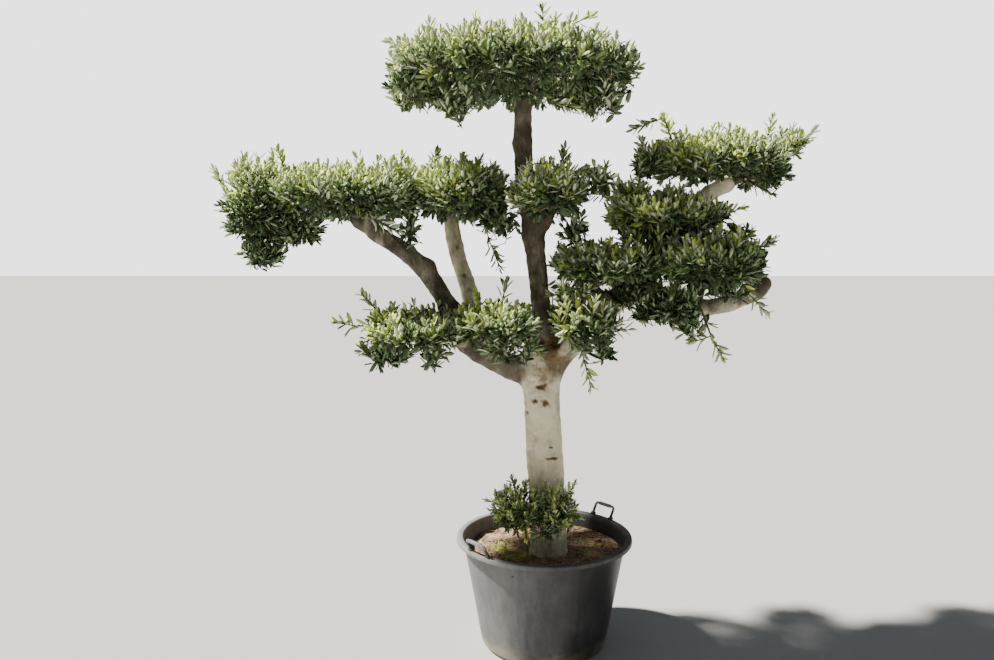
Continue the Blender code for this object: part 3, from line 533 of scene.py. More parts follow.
def bark_surface():
    """Olive bark: cream where it is young, grey-brown where it has aged, with dark scars and speckles. Its age and
    scar attributes also carry painted shade, which darkens the fork grey-brown and brown.
    """
    material, shader, here = new_surface("olive_bark", roughness=0.85, specular=0.25)
    age = attribute(here, "age")
    scar = attribute(here, "scar")
    streaks = here.stretched(1.0, 1.0, 0.22).noise(26.0, 5.0, 0.62)
    blotches = here.noise(9.0, 3.0, 0.6)
    speckles = here.noise(210.0, 2.0, 0.7)
    cream = blotches.between(0.35, 0.68).tint(rgb(230, 221, 192), rgb(198, 188, 160))
    grey = blotches.between(0.32, 0.66).tint(rgb(112, 103, 88), rgb(68, 61, 52))
    aged = (age + (streaks - 0.5) * 0.9 + (blotches - 0.5) * 0.5).between(0.18, 0.86)
    colour = aged.node("ShaderNodeMix", {0: aged, 6: cream, 7: grey}, output=2, data_type="RGBA")
    dirt = (streaks.between(0.56, 0.74) * 0.38 + speckles.between(0.60, 0.74) * 0.28)
    colour = dirt.node("ShaderNodeMix", {0: dirt, 6: colour, 7: rgb(84, 74, 58)}, output=2, data_type="RGBA")
    lichen = here.noise(17.0, 4.0, 0.65).between(0.52, 0.66) * (1.0 - aged) * 0.55
    colour = lichen.node("ShaderNodeMix", {0: lichen, 6: colour, 7: rgb(150, 146, 128)}, output=2, data_type="RGBA")
    # The scar stains also paint the fork's shade brown, where the scar attribute carries painted shade.
    ragged = scar * (0.10 + here.noise(48.0, 4.0, 0.7) * 1.7)
    for low, high, stain in ((0.08, 0.55, rgb(118, 98, 70)), (0.42, 0.95, rgb(64, 53, 42))):
        marks = ragged.between(low, high)
        colour = marks.node("ShaderNodeMix", {0: marks, 6: colour, 7: stain}, output=2, data_type="RGBA")
    cracks = here.stretched(1.0, 1.0, 0.30).node(
        "ShaderNodeTexVoronoi", {"Vector": here.stretched(1.0, 1.0, 0.30), "Scale": 75.0}, feature="DISTANCE_TO_EDGE"
    )
    height = streaks * 0.9 + here.noise(95.0, 4.0, 0.65) * 0.7 + cracks.between(0.0, 0.16) * aged * 0.6
    wear(shader, here, colour, 0.72 + streaks * 0.25, height, 0.0035, 0.55)
    return material


def twig_surface():
    """Thin bark of twigs: grey-brown, greener and paler in patches."""
    material, shader, here = new_surface("twig_bark", roughness=0.8, specular=0.25)
    patches = here.noise(28.0, 3.0).between(0.35, 0.7)
    wear(shader, here, patches.tint(rgb(70, 63, 52), rgb(98, 96, 76)), height=here.noise(160.0), depth=0.001)
    return material


def leaf_surface(name, colour, roughness=0.5, specular=0.4):
    """A leaf's plain tint: the leaves of a spray share one."""
    return new_surface(name, colour, roughness, specular)[0]


def along_limb(limb, t):
    """A cubic from foot to tip, with a slight crook to the side that fades at both ends."""
    t = np.asarray(t, float)[:, None]
    foot, leaving, tip, arriving = (np.array(v) for v in limb[:4])
    points = (2 * t**3 - 3 * t**2 + 1) * foot + (t**3 - 2 * t**2 + t) * leaving
    points = points + (3 * t**2 - 2 * t**3) * tip + (t**3 - t**2) * arriving
    side = unit(np.cross(tip - foot, (0.3, 1.0, 0.2)))
    crook = LIMB_CROOK * np.sin(3 * math.pi * t) * np.sin(math.pi * t) * (limb is not LIMBS["trunk"])
    return points + crook * side


def span(limb):
    return math.dist(limb.foot, limb.tip)


def limb_radii(name, t):
    """A straight taper. The trunk adds its flare and swelling, and a domed end closes as a circle does."""
    limb = LIMBS[name]
    t = np.asarray(t, float)
    radii = limb.foot_radius + (limb.tip_radius - limb.foot_radius) * t
    left = (1 - t) * span(limb)
    if name == "trunk":
        radii = radii + FLARE * np.exp(-t * span(limb) / FLARE_HEIGHT)
        radii = radii + FORK_SWELL * np.exp(-left / FORK_HEIGHT)
    if name in DOMES:
        fall = 1 - np.minimum(left / DOMES[name], 1)
        radii = radii * np.sqrt(np.maximum(1 - fall**2, 0.0))
    return radii


def tube(points, radii, sides):
    """A ring round each point of a path, square to it and of its own radius, with a pole at each end."""
    along = unit(np.gradient(points, axis=0))
    chord = np.abs(points[-1] - points[0])
    side = unit(np.cross(along, np.eye(3)[np.argmin(chord)]))
    other = np.cross(along, side)
    angle = np.linspace(0, 2 * math.pi, sides, endpoint=False)[:, None]
    rings = points[:, None] + radii[:, None, None] * (np.cos(angle) * side[:, None] + np.sin(angle) * other[:, None])
    poles = np.broadcast_to(points[[0, -1], None], (2, sides, 3))
    return np.concatenate([poles[:1], rings, poles[1:]]).reshape(-1, 3), grid_faces(len(points) + 2, sides)


def limb_stretches(steps):
    """Every limb as short straight stretches: starts, runs, their radii, and which limb and how far along."""
    rows = []
    for number, (name, limb) in enumerate(LIMBS.items()):
        t = np.linspace(0, 1, steps)
        points, radii = along_limb(limb, t), limb_radii(name, t)
        rows.append((points[:-1], np.diff(points, axis=0), radii[:-1], radii[1:], np.full(steps - 1, number), t[:-1]))
    return [np.concatenate(column) for column in zip(*rows)]


def limb_depths(points, stretches):
    """For each point and each limb, how far outside the limb it lies, by the limb's nearest stretch."""
    starts, runs, first, last, number, _ = stretches
    found = np.empty((len(points), len(LIMBS)))
    for low in range(0, len(points), 6000):
        some = points[low : low + 6000, None, :]
        offset = some - starts
        share = np.clip((offset * runs).sum(-1) / (runs * runs).sum(-1), 0, 1)
        away = np.linalg.norm(offset - share[..., None] * runs, axis=-1) - (first + share * (last - first))
        for limb in range(len(LIMBS)):
            found[low : low + 6000, limb] = away[:, number == limb].min(axis=1)
    return found


# Knobs where old shoots were cut: centre, reach and height
KNOBS = [
    ((-0.125, -0.015, 2.078), 0.016, 0.010), ((-0.055, -0.020, 2.030), 0.014, 0.008),
    ((-0.122, 0.000, 1.990), 0.022, 0.013), ((-0.105, -0.020, 1.640), 0.020, 0.011),
    ((-0.020, -0.012, 1.600), 0.020, 0.009), ((-0.055, -0.030, 1.480), 0.016, 0.006),
    ((-0.522, 0.010, 1.592), 0.018, 0.013), ((-0.447, 0.010, 1.528), 0.034, 0.018),
    ((-0.600, 0.020, 1.668), 0.018, 0.008), ((-0.395, 0.050, 1.330), 0.020, 0.009),
    ((-0.300, 0.075, 1.420), 0.014, 0.006), ((-0.350, 0.120, 1.560), 0.014, 0.006),
    ((0.500, -0.080, 1.450), 0.020, 0.009), ((0.815, -0.160, 1.475), 0.026, 0.010),
    ((0.480, 0.010, 1.600), 0.016, 0.007), ((0.055, -0.075, 1.080), 0.022, 0.007),
    ((-0.075, -0.060, 1.110), 0.024, 0.008), ((0.245, -0.040, 1.300), 0.018, 0.007),
]
# Scars, and painted shade at the fork: centre, half widths along X, Y and Z, and how dark
SCARS_AND_PAINTED_SHADE = [
    ((-0.018, -0.085, 1.056), (0.024, 0.050, 0.010), 1.0), ((-0.042, -0.085, 1.002), (0.012, 0.050, 0.010), 0.8),
    ((-0.004, -0.085, 0.996), (0.014, 0.050, 0.013), 0.9), ((-0.075, -0.050, 0.952), (0.010, 0.040, 0.012), 0.5),
    ((-0.046, -0.100, 0.852), (0.028, 0.050, 0.022), 0.3), ((0.017, -0.100, 0.823), (0.010, 0.040, 0.005), 0.8),
    ((0.027, -0.100, 0.779), (0.024, 0.040, 0.006), 0.85), ((-0.060, -0.100, 0.741), (0.012, 0.040, 0.010), 0.5),
    # The broad patches at heights 1.185 and 1.100 are painted shade that stains the fork brown; the others are scars.
    ((0.034, -0.060, 1.185), (0.055, 0.080, 0.060), 0.75), ((-0.020, -0.070, 1.225), (0.022, 0.060, 0.020), 1.0),
    ((0.000, -0.080, 1.100), (0.075, 0.060, 0.045), 0.42), ((-0.060, 0.020, 0.900), (0.020, 0.030, 0.016), 0.6),
    ((0.030, 0.060, 1.000), (0.024, 0.040, 0.012), 0.9), ((0.000, 0.060, 0.700), (0.022, 0.040, 0.012), 0.6),
    ((0.060, 0.020, 0.640), (0.014, 0.030, 0.018), 0.6), ((-0.320, 0.120, 1.480), (0.012, 0.060, 0.014), 0.6),
    ((-0.290, 0.060, 1.370), (0.016, 0.060, 0.008), 0.7), ((-0.350, 0.140, 1.590), (0.010, 0.060, 0.016), 0.5),
]


def make_bark():
    """Trunk and boughs as one skin with fillets at the forks, bark relief, knobs and scars, and painted shade that
    darkens the fork.

    The tubes are melted into one even mesh. Its points are then moved onto the surface where the
    soft minimum of their distances to all limbs is 0, which rounds the forks, and pushed out along
    their normals by the relief.
    """
    t = np.linspace(0, 1, 60)
    tubes = [tube(along_limb(limb, t), limb_radii(name, t), 40) for name, limb in LIMBS.items()]
    bark = place_piece("bark", *joined(tubes), [bark_surface()], "bark_pale", LIMBS)
    melt = bark.modifiers.new("melt", "REMESH")
    melt.mode = "VOXEL"
    melt.voxel_size = VOXEL
    bpy.context.view_layer.update()
    graph = bpy.context.evaluated_depsgraph_get()
    mesh = bpy.data.meshes.new_from_object(bark.evaluated_get(graph), depsgraph=graph)
    bark.modifiers.clear()
    bark.data = mesh

    points = np.empty(len(mesh.vertices) * 3, np.float32)
    mesh.vertices.foreach_get("co", points)
    points = points.reshape(-1, 3).astype(float)
    stretches = limb_stretches(36)
    for _ in range(4):
        depths = limb_depths(points, stretches)
        least = depths.min(axis=1)
        soft = least - FILLET * np.log(np.exp(-(depths - least[:, None]) / FILLET).sum(axis=1))
        points -= normals_of(mesh, points) * np.clip(soft, -0.008, 0.008)[:, None]
    depths = limb_depths(points, stretches)
    nearness = np.exp(-depths / 0.012)
    age_and_painted_shade = (nearness * [limb.age for limb in LIMBS.values()]).sum(axis=1) / nearness.sum(axis=1)
    # Painted shade: the fork, which the pads above shade, is darkened as if its bark were older. The bark also darkens
    # towards the soil at the foot.
    fork = fade(points[:, 2], 1.03, 1.13) * fade(0.16 - np.linalg.norm(points - (0, 0, 1.13), axis=1), 0.0, 0.10)
    foot = 1 - fade(points[:, 2], SOIL_SEAT, SOIL_SEAT + 0.14)
    age_and_painted_shade = age_and_painted_shade + 0.50 * fork + 0.30 * foot
    scars = np.zeros(len(points))
    relief = 0.0032 * rumple(points * (1, 1, 0.55), 0.085, 3) + 0.0014 * rumple(points * (1, 1, 0.6), 0.030, 4)
    relief += 0.0010 * age_and_painted_shade * rumple(points * (1, 1, 0.7), 0.013, 5)
    for centre, reach, rise in KNOBS:
        swell = np.exp(-((np.linalg.norm(points - centre, axis=1) / reach) ** 2))
        relief += rise * swell
        scars = np.maximum(scars, 0.45 * swell)
    for centre, widths, darkness in SCARS_AND_PAINTED_SHADE:
        wobble = 1 + 0.45 * rumple(points, 0.022, 6)
        within = np.exp(-((np.abs((points - centre) / widths) * wobble[:, None]) ** 2).sum(axis=1))
        scars = np.maximum(scars, darkness * within)
        relief -= 0.0016 * within
    level = fade(points[:, 2], SOIL_SEAT + 0.002, SOIL_SEAT + 0.02)
    points += normals_of(mesh, points) * (relief * level)[:, None]
    mesh.vertices.foreach_set("co", points.astype(np.float32).ravel())
    # The age attribute carries the fork's painted shade as well as the bark's age. The scar attribute carries the
    # fork's broad patches of painted shade as well as the scars.
    for name, values in (("age", age_and_painted_shade), ("scar", scars)):
        mesh.attributes.new(name, "FLOAT", "POINT").data.foreach_set("value", values.astype(np.float32))
    mesh.update()
    mesh.shade_smooth()
    return bark


def normals_of(mesh, points):
    """The mesh's point normals with its points where the array says."""
    mesh.vertices.foreach_set("co", points.astype(np.float32).ravel())
    mesh.update()
    normals = np.empty(len(points) * 3, np.float32)
    mesh.vertices.foreach_get("normal", normals)
    return normals.reshape(-1, 3).astype(float)


def depth_in(lobes, points):
    """0 at a lobe's centre and 1 on its surface, by the lobe that holds the point deepest."""
    values = []
    for centre, size in lobes:
        share = np.abs((points - np.array(centre)) / np.array(size))
        values.append((share**SLAB_POWER).sum(-1) ** (1 / SLAB_POWER))
    return np.min(values, axis=0)


def others_depth(name, points):
    """How deep the points lie in the nearest other pad."""
    return np.min([depth_in(pad.lobes, points) for other, pad in PADS.items() if other != name], axis=0)


def lobe_targets(lobe, count, reach, turn):
    """Points spread by the golden angle over the lobe's surface, at a share of its size."""
    centre, size = lobe
    k = np.arange(count) + 0.5
    height = 1 - 2 * k / count
    angle = GOLDEN_ANGLE * k + turn
    flat = np.sqrt(1 - height**2)
    way = np.stack([flat * np.cos(angle), flat * np.sin(angle), height], axis=-1)
    way /= (np.abs(way) ** SLAB_POWER).sum(-1, keepdims=True) ** (1 / SLAB_POWER)
    return np.array(centre) + reach * way * np.array(size)


def stem_of(pad):
    """Where the pad's stem starts and which way it heads."""
    if pad.bough == "trunk":
        trunk = LIMBS["trunk"]
        height = np.array([(SPROUT_ROOT - trunk.foot[2]) / (trunk.tip[2] - trunk.foot[2])])
        root = along_limb(trunk, height)[0]
        return root, unit(np.array(pad.lobes[0][0]) - root)
    before, tip = along_limb(LIMBS[pad.bough], [0.94, 1.0])
    return tip, unit(tip - before)


def pad_targets(name, root, rng):
    """The ends that a pad's twigs grow to: the source's own first, then finer ones between them."""
    pad = PADS[name]
    areas = [math.prod(size) ** (2 / 3) for _, size in pad.lobes]
    counts = [max(3, round(pad.leaves / LEAVES_PER_TWIG * area / sum(areas))) for area in areas]
    targets = [np.array(centre) for centre, _ in pad.lobes]
    finer = []
    for lobe, count in zip(pad.lobes, counts):
        spots = lobe_targets(lobe, count, TIP_REACH, rng.uniform(0, 2 * math.pi))
        targets += [spot for spot in spots if depth_in(pad.lobes, spot[None])[0] > INNER_REACH]
    for lobe, count in zip(pad.lobes, counts):
        for share, reach in ((0.4, 0.50), (1.0, 0.82)):
            finer += list(lobe_targets(lobe, round(FINER * count * share), reach, rng.uniform(0, 2 * math.pi)))
    for tuft in TUFTS.get(name, ()):
        finer += [np.array(tuft[0]), *lobe_targets(tuft, 6, 0.6, rng.uniform(0, 2 * math.pi))]
    for group in (targets, finer):
        group.sort(key=lambda target: np.linalg.norm(target - root))
    shoots = [(np.array(shoot), True) for shoot in pad.shoots]
    return [(target, False) for target in targets] + shoots + [(target, False) for target in finer]


def grow_twigs(name, rng, stretches):
    """Knots of a branching twig. Each target joins the knot that gives the shortest way to it.

    The way back to the stem counts by a weight, so that twigs fork near their targets. A twig that
    would touch a limb or leave the pad's space takes the next best knot, or isn't grown.
    """
    pad = PADS[name]
    root, heading = stem_of(pad)
    first = SPROUT_STEM if pad.bough == "trunk" else STEM_LENGTH
    twigs = [Knot(root, None, 0.0, False), Knot(root + first * heading, 0, first, False)]
    shares = np.linspace(CLEAR_FROM, 1, 6)[:, None]
    for target, is_shoot in pad_targets(name, root, rng):
        spots = np.array([knot.spot for knot in twigs[1:]])
        ways = np.array([knot.way for knot in twigs[1:]])
        cost = np.linalg.norm(spots - target, axis=1) + WAY_WEIGHT * ways
        for pick in np.argsort(cost)[:NEXT_BEST]:
            line = spots[pick] + shares * (target - spots[pick])
            if limb_depths(line, stretches).min() < TWIG_CLEARANCE:
                continue
            if (others_depth(name, line[2:]) > (1.05 if is_shoot else depth_in(pad.lobes, line[2:]) + 0.05)).all():
                break
        else:
            continue
        run = target - spots[pick]
        length = np.linalg.norm(run)
        stops = [spots[pick] + run * (0.93 if is_shoot else 1.0)]
        if length > STRAIGHT_TWIG:
            stops.insert(0, spots[pick] + 0.5 * run - TWIG_SAG * length * UP)
        parent = int(pick) + 1
        for spot in stops:
            way = twigs[parent].way + np.linalg.norm(spot - twigs[parent].spot)
            twigs.append(Knot(spot, parent, way, is_shoot and spot is stops[-1]))
            parent = len(twigs) - 1
    return twigs


def facing(lobe, points):
    """Which way the lobe's surface faces at each point of it."""
    centre, size = (np.array(value) for value in lobe)
    share = (points - centre) / size
    return unit(np.sign(share) * np.abs(share) ** (SLAB_POWER - 1) / size)


def nearest_on_twigs(points, twigs):
    """For each point, the place on the twigs that lies nearest, leaving out the stem."""
    starts = np.array([twigs[knot.parent].spot for knot in twigs[2:]])
    run = np.array([knot.spot for knot in twigs[2:]]) - starts
    offset = points[:, None] - starts
    share = np.clip((offset * run).sum(-1) / (run * run).sum(-1) - 0.1, 0, 1)
    spots = starts + share[..., None] * run
    pick = np.argmin(np.linalg.norm(spots - points[:, None], axis=-1), axis=1)
    return spots[np.arange(len(points)), pick]


def lay_sprays(name, twigs, rng, scale):
    """Sprays as arrays: root, tip, bend, bare share, pairs of leaves and the painted light of each.

    Their tips lie over each lobe's surface by the golden angle, a leaf's length within it: most near
    the surface, some inside it, and a few that stand proud of its top. Those on top stand upright,
    those at the side head outwards, and the underside has fewer. Tufts are laid in the same way.
    """
    rows = []
    lobes = [(centre, np.array(size) - SPRAY_MARGIN * scale, 1.0) for centre, size in PADS[name].lobes]
    lobes += [(centre, np.array(size), TUFT_SHARE) for centre, size in TUFTS.get(name, ())]
    for centre, size, share in lobes:
        centre = np.array(centre)
        area = 4.0 * (size[0] * size[1] + size[0] * size[2] + size[1] * size[2])
        count = max(8, round(SPRAYS_PER_M2 * share * LOOSE_PADS.get(name, 1.0) * area / scale**2))
        surface = lobe_targets((centre, size), count, 1.0, rng.uniform(0, 2 * math.pi))
        normal = facing((centre, size), surface)
        layer = rng.uniform(0, 1, count)
        reach = np.where(layer < 0.22, rng.uniform(0.50, 0.84, count), rng.uniform(0.86, 1.02, count))
        lift = np.where((layer > 0.80) & (normal[:, 2] > 0.2), rng.uniform(*PROUD, count), reach)
        tip = centre + np.column_stack([reach, reach, lift]) * (surface - centre)
        tip += rng.normal(0, 0.008, (count, 3))
        rise = 0.15 + 0.95 * fade(normal[:, 2], -0.5, 0.6)
        outward = 0.60 * normal + 0.30 * unit(tip - centre)
        heading = unit(outward + rise[:, None] * UP + rng.normal(0, 0.22, (count, 3)))
        length = scale * rng.uniform(*SPRAY_LENGTH, count)
        root = tip - length[:, None] * heading
        bend = 0.12 * length[:, None] * unit(rng.normal(size=(count, 3)) - 0.8 * UP)
        pairs = rng.integers(*SPRAY_PAIRS, count)
        kept = (layer > 0.22) | (normal[:, 2] > -0.5)
        kept &= (normal[:, 2] > -0.45) | (rng.uniform(0, 1, count) < 0.60)
        kept &= (depth_in(PADS[name].lobes, surface) > 0.70) | (share < 1)
        kept &= depth_in(PADS[name].lobes, tip) < others_depth(name, tip) + 0.15
        kept &= (depth_in(CLEARINGS, tip) > 1) & (depth_in(CLEARINGS, 0.5 * (tip + root)) > 1)
        height = (tip[:, 2] - PADS[name].lobes[0][0][2]) / PADS[name].lobes[0][1][2]
        # Painted light and shade: a spray is tinted brighter where it faces the key light and near the pad's top, by
        # its pad's painted light, and darker deep inside the pad.
        painted_light = 0.42 + PAD_TINT_AND_PAINTED_LIGHT.get(name, 0.0) + 0.30 * (normal @ SUN) + 0.34 * np.clip(height, -1.2, 1.2)
        painted_light *= fade(reach, 0.2, 0.9)
        bare = np.full(count, 0.10)
        rows.append([column[kept] for column in (root, tip, bend, bare, pairs, painted_light)])
    for knot in twigs:
        if knot.is_shoot:
            stretches = [(knot, 0.10, 0.016), (twigs[knot.parent], 0.35, 0.034)]
            for end, bare, gap in stretches[: 2 if twigs[knot.parent].parent else 1]:
                start = twigs[end.parent].spot
                pairs = max(2, round((1 - bare) * np.linalg.norm(end.spot - start) / (gap * scale)))
                rows.append([start[None], end.spot[None], np.zeros((1, 3)), np.array([bare]), np.array([pairs]),
                             np.array([0.7])])
    return [np.concatenate(column) for column in zip(*rows)]


def leaves_of(sprays, rng, scale):
    """Leaf roots, directions, faces and lengths, and each leaf's spray and place along it.

    Pairs sit opposite each other, each turned a quarter from the last, open at the foot of the shoot
    and closing towards its tip, which ends in one more leaf. A leaf's upper face looks up the shoot.
    """
    root, tip, bend, bare, pairs, _ = sprays
    index = np.repeat(np.arange(len(pairs)), pairs)
    order = np.arange(len(index)) - np.repeat(np.cumsum(pairs) - pairs, pairs)
    share = bare[index] + (1 - bare[index]) * (order + 0.6) / pairs[index]
    index = np.concatenate([index, index, np.arange(len(pairs))])
    share = np.concatenate([share, share, np.ones(len(pairs))])
    quarter = np.concatenate([order, order + 2, np.zeros(len(pairs))]) * math.pi / 2
    last = share == 1
    count = len(index)
    run = (tip - root)[index]
    spot = root[index] + share[:, None] * run + (4 * share * (1 - share))[:, None] * bend[index]
    along = unit(run + (4 * (1 - 2 * share))[:, None] * bend[index])
    side = unit(np.cross(along, (0.31, 0.17, 0.93)))
    other = np.cross(along, side)
    turn = rng.uniform(0, 2 * math.pi, len(pairs))[index] + quarter + rng.normal(0, 0.25, count)
    around = np.cos(turn)[:, None] * side + np.sin(turn)[:, None] * other
    angle = np.radians(np.where(last, 6.0, 52.0 - 26.0 * share)) + rng.normal(0, 0.15, count)
    direction = unit(np.cos(angle)[:, None] * along + np.sin(angle)[:, None] * around + 0.10 * UP)
    face = np.where(last[:, None], around, along) + 0.35 * UP + rng.normal(0, 0.15, (count, 3))
    face = unit(face - (face * direction).sum(-1, keepdims=True) * direction)
    length = LEAF_LENGTH * scale * rng.uniform(0.78, 1.15, count) * (1 - 0.38 * share**3)
    return spot, direction, face, length, index, share


# A leaf's outline: across its half width, off its plane and along it, as shares. It is broad to
# near its blunt tip. The last two points are the underside of its midrib.
LEAF_POINTS = np.array([
    (0, 0, 0), (-0.92, 0.040, 0.38), (0, -0.020, 0.36), (0.92, 0.040, 0.38),
    (-0.84, 0.000, 0.78), (0, -0.050, 0.78), (0.84, 0.000, 0.78), (0, -0.090, 1.0),
    (0, -0.040, 0.36), (0, -0.070, 0.78),
])
LEAF_UPPER = np.array([(0, 1, 2), (0, 2, 3), (1, 4, 5), (1, 5, 2), (2, 5, 6), (2, 6, 3), (4, 7, 5), (5, 7, 6)])
LEAF_UNDER = np.array([(0, 8, 1), (0, 3, 8), (1, 9, 4), (1, 8, 9), (8, 6, 9), (8, 3, 6), (4, 9, 7), (9, 6, 7)])


def leaf_mesh(spot, direction, face, length, aspect):
    """Every leaf's outline points set out from its root along its own three directions."""
    across = np.cross(face, direction)
    half = 0.5 * aspect * length
    x, y, z = LEAF_POINTS.T
    points = spot[:, None] + (half[:, None] * x)[..., None] * across[:, None]
    points = points + (length[:, None] * y)[..., None] * face[:, None] + (length[:, None] * z)[..., None] * direction[:, None]
    faces = np.concatenate([LEAF_UPPER, LEAF_UNDER])
    numbers = faces + (np.arange(len(spot)) * len(LEAF_POINTS))[:, None, None]
    return points.reshape(-1, 3), numbers.reshape(-1, 3)


def rods(starts, ends, first, last, sides):
    """Straight tapering twigs: a ring of points at each end of each, joined by quads, and closed at both ends."""
    along = unit(ends - starts)
    side = unit(np.cross(along, (0.29, 0.83, 0.47)))
    other = np.cross(along, side)
    angle = np.linspace(0, 2 * math.pi, sides, endpoint=False)[:, None]
    ring = np.cos(angle) * side[:, None] + np.sin(angle) * other[:, None]
    low = starts[:, None] + first[:, None, None] * ring
    high = ends[:, None] + last[:, None, None] * ring
    points = np.stack([low, high], axis=1)
    quads = grid_faces(2, sides)
    tris = np.concatenate([quads[:, [0, 1, 2]], quads[:, [0, 2, 3]]])
    fan = np.array([(0, k, k + 1) for k in range(1, sides - 1)])
    tris = np.concatenate([tris, fan[:, ::-1], fan + sides])
    numbers = tris + (np.arange(len(starts)) * 2 * sides)[:, None, None]
    return points.reshape(-1, 3), numbers.reshape(-1, 3)


def twig_mesh(name, twigs, sprays):
    """The pad's twigs: each is as thick as the count of the ends that it carries asks for."""
    root, tip, bend, _, pairs, _ = sprays
    carried = np.ones(len(twigs))
    for k in range(len(twigs) - 1, 0, -1):
        carried[twigs[k].parent] += carried[k] * (k > 0)
    cap = LIMBS[PADS[name].bough].tip_radius * 0.92 if PADS[name].bough != "trunk" else 0.012
    girth = np.minimum(TWIG_TIP * carried**TWIG_GIRTH, cap)
    parent = np.array([knot.parent for knot in twigs[1:]])
    spots = np.array([knot.spot for knot in twigs])
    from_knot = np.minimum(girth[parent], 1.35 * girth[1:])
    from_knot[0] = cap
    parts = [rods(spots[parent], spots[1:], from_knot, girth[1:], 6)]
    middle = 0.5 * (root + tip) + bend
    thin = np.full(len(root), 0.0014)
    parts.append(rods(root, middle, 1.3 * thin, thin, 3))
    parts.append(rods(middle, tip, thin, 0.6 * thin, 3))
    if len(root):
        held = nearest_on_twigs(root, twigs)
        parts.append(rods(held, root, 1.6 * thin, 1.3 * thin, 3))
    return joined(parts)


def make_pad(name, stretches, leaf_surfaces, bark):
    """One pad: its twigs as one piece and its leaves as another, tinted by spray with painted light and shade."""
    scale = SPROUT_LEAF if name.endswith("sprouts") else 1.0
    twigs = grow_twigs(name, random.Random(name), stretches)
    rng = np.random.default_rng(sum(map(ord, name)))
    sprays = lay_sprays(name, twigs, rng, scale)
    spot, direction, face, length, index, share = leaves_of(sprays, rng, scale)
    tips = spot + length[:, None] * direction
    clear = np.minimum(limb_depths(tips, stretches), limb_depths(0.5 * (spot + tips), stretches)).min(axis=1)
    kept = clear > LEAF_CLEARANCE
    spot, direction, face, length, index, share = (a[kept] for a in (spot, direction, face, length, index, share))
    points, faces = leaf_mesh(spot, direction, face, length, LEAF_ASPECT)

    # Painted light and shade: each spray's leaves take one of four copies of the leaf green, from sunlit to shaded,
    # and their undersides a pale lit copy or a darker shaded one. Young yellow-green tips go only where the painted
    # light is strong.
    painted_light = sprays[5]
    jittered_painted_light = painted_light + rng.normal(0, 0.15, len(painted_light))
    tint = np.select([jittered_painted_light > 0.80, jittered_painted_light > 0.58, jittered_painted_light > 0.32], [0, 1, 2], 3)
    young = (share > 0.6) & (jittered_painted_light[index] > 0.62) & (rng.uniform(0, 1, len(painted_light))[index] < 0.50)
    upper = np.where(young, 4, tint[index])
    under = np.where(jittered_painted_light[index] > 0.45, 5, 6)
    slots = np.stack([np.repeat(upper[:, None], 8, axis=1), np.repeat(under[:, None], 8, axis=1)], axis=1).reshape(-1)
    place_piece(name + "_leaves", points, faces, leaf_surfaces, "leaves", [name], slots)
    place_piece(name + "_twigs", *twig_mesh(name, twigs, sprays), [bark], "bark_grey", soft_angle=60)
    return len(spot)


def make_crown():
    """All the pads and sprouts."""
    # The first four are painted light: the leaf green from sunlit to shaded. The last two are the silvery underside as
    # painted light and a darker green copy of it as painted shade.
    leaf_surfaces = [
        leaf_surface("leaf_painted_sunlit", rgb(192, 208, 106)),
        leaf_surface("leaf_painted_lit", rgb(162, 183, 86)),
        leaf_surface("leaf_green", rgb(116, 140, 76)),
        leaf_surface("leaf_painted_shade", rgb(70, 90, 56)),
        leaf_surface("leaf_young", rgb(206, 218, 92)),
        leaf_surface("leaf_pale_under", rgb(188, 198, 160), 0.7, 0.25),
        leaf_surface("leaf_under_painted_shade", rgb(122, 138, 100), 0.7, 0.25),
    ]
    bark = twig_surface()
    stretches = limb_stretches(12)
    total = sum(make_pad(name, stretches, leaf_surfaces, bark) for name in PADS)
    print("leaves", total)


def tub_surface():
    """Black plastic gone dusty: grey haze, paler on the rim, scuffs, and dried mud low down, with painted light that
    makes the left side paler.
    """
    material, shader, here = new_surface("tub_plastic", roughness=0.6, specular=0.35)
    cloud = here.noise(5.0, 4.0, 0.6)
    streak = here.stretched(1.0, 1.0, 0.12).noise(30.0, 4.0, 0.65)
    grain = here.noise(340.0, 2.0, 0.7)
    # Painted light: the left side, which faces the key light, is made paler, as if dustier, and takes more pale mud.
    left = (0.0 - here.axis(0)).between(-0.08, 0.22)
    height = here.axis(2)
    rim = height.between(0.415, 0.436)
    dust_and_painted_light = (cloud - 0.5) * 0.7 + (streak - 0.5) * 0.5 + left * 0.55 + rim * 0.30
    colour = dust_and_painted_light.between(-0.1, 1.05).tint(rgb(33, 33, 35), rgb(128, 128, 127))
    mud = (1.0 - height / 0.13 + (cloud - 0.5) * 1.6 + (grain - 0.5) * 0.5 + left * 0.35).between(0.55, 1.25)
    colour = mud.node("ShaderNodeMix", {0: mud * 0.75, 6: colour, 7: rgb(150, 143, 118)}, output=2, data_type="RGBA")
    scratches = here.stretched(1.0, 1.0, 9.0).noise(16.0, 6.0, 0.7).between(0.66, 0.74)
    colour = scratches.node("ShaderNodeMix", {0: scratches * 0.35, 6: colour, 7: rgb(172, 172, 168)}, output=2, data_type="RGBA")
    wear(shader, here, colour, 0.45 + dust_and_painted_light * 0.25, grain * 0.35 + scratches * -0.4 + streak * 0.3, 0.0012, 0.35)
    return material


def grip_surface():
    """Handle plastic: near black, with a paler grey grip at the top of the bar: dust, and painted light on its lit
    top.
    """
    material, shader, here = new_surface("handle_plastic", roughness=0.5, specular=0.4)
    # Painted light and dust: the grip band at the top of the bar is made paler grey.
    dust_and_painted_light = (here.axis(2).between(0.470, 0.486) + here.noise(40.0) * 0.5 - 0.2).between(0.1, 1.0)
    wear(shader, here, dust_and_painted_light.tint(rgb(56, 57, 60), rgb(140, 142, 144)), height=here.noise(300.0), depth=0.0006)
    return material


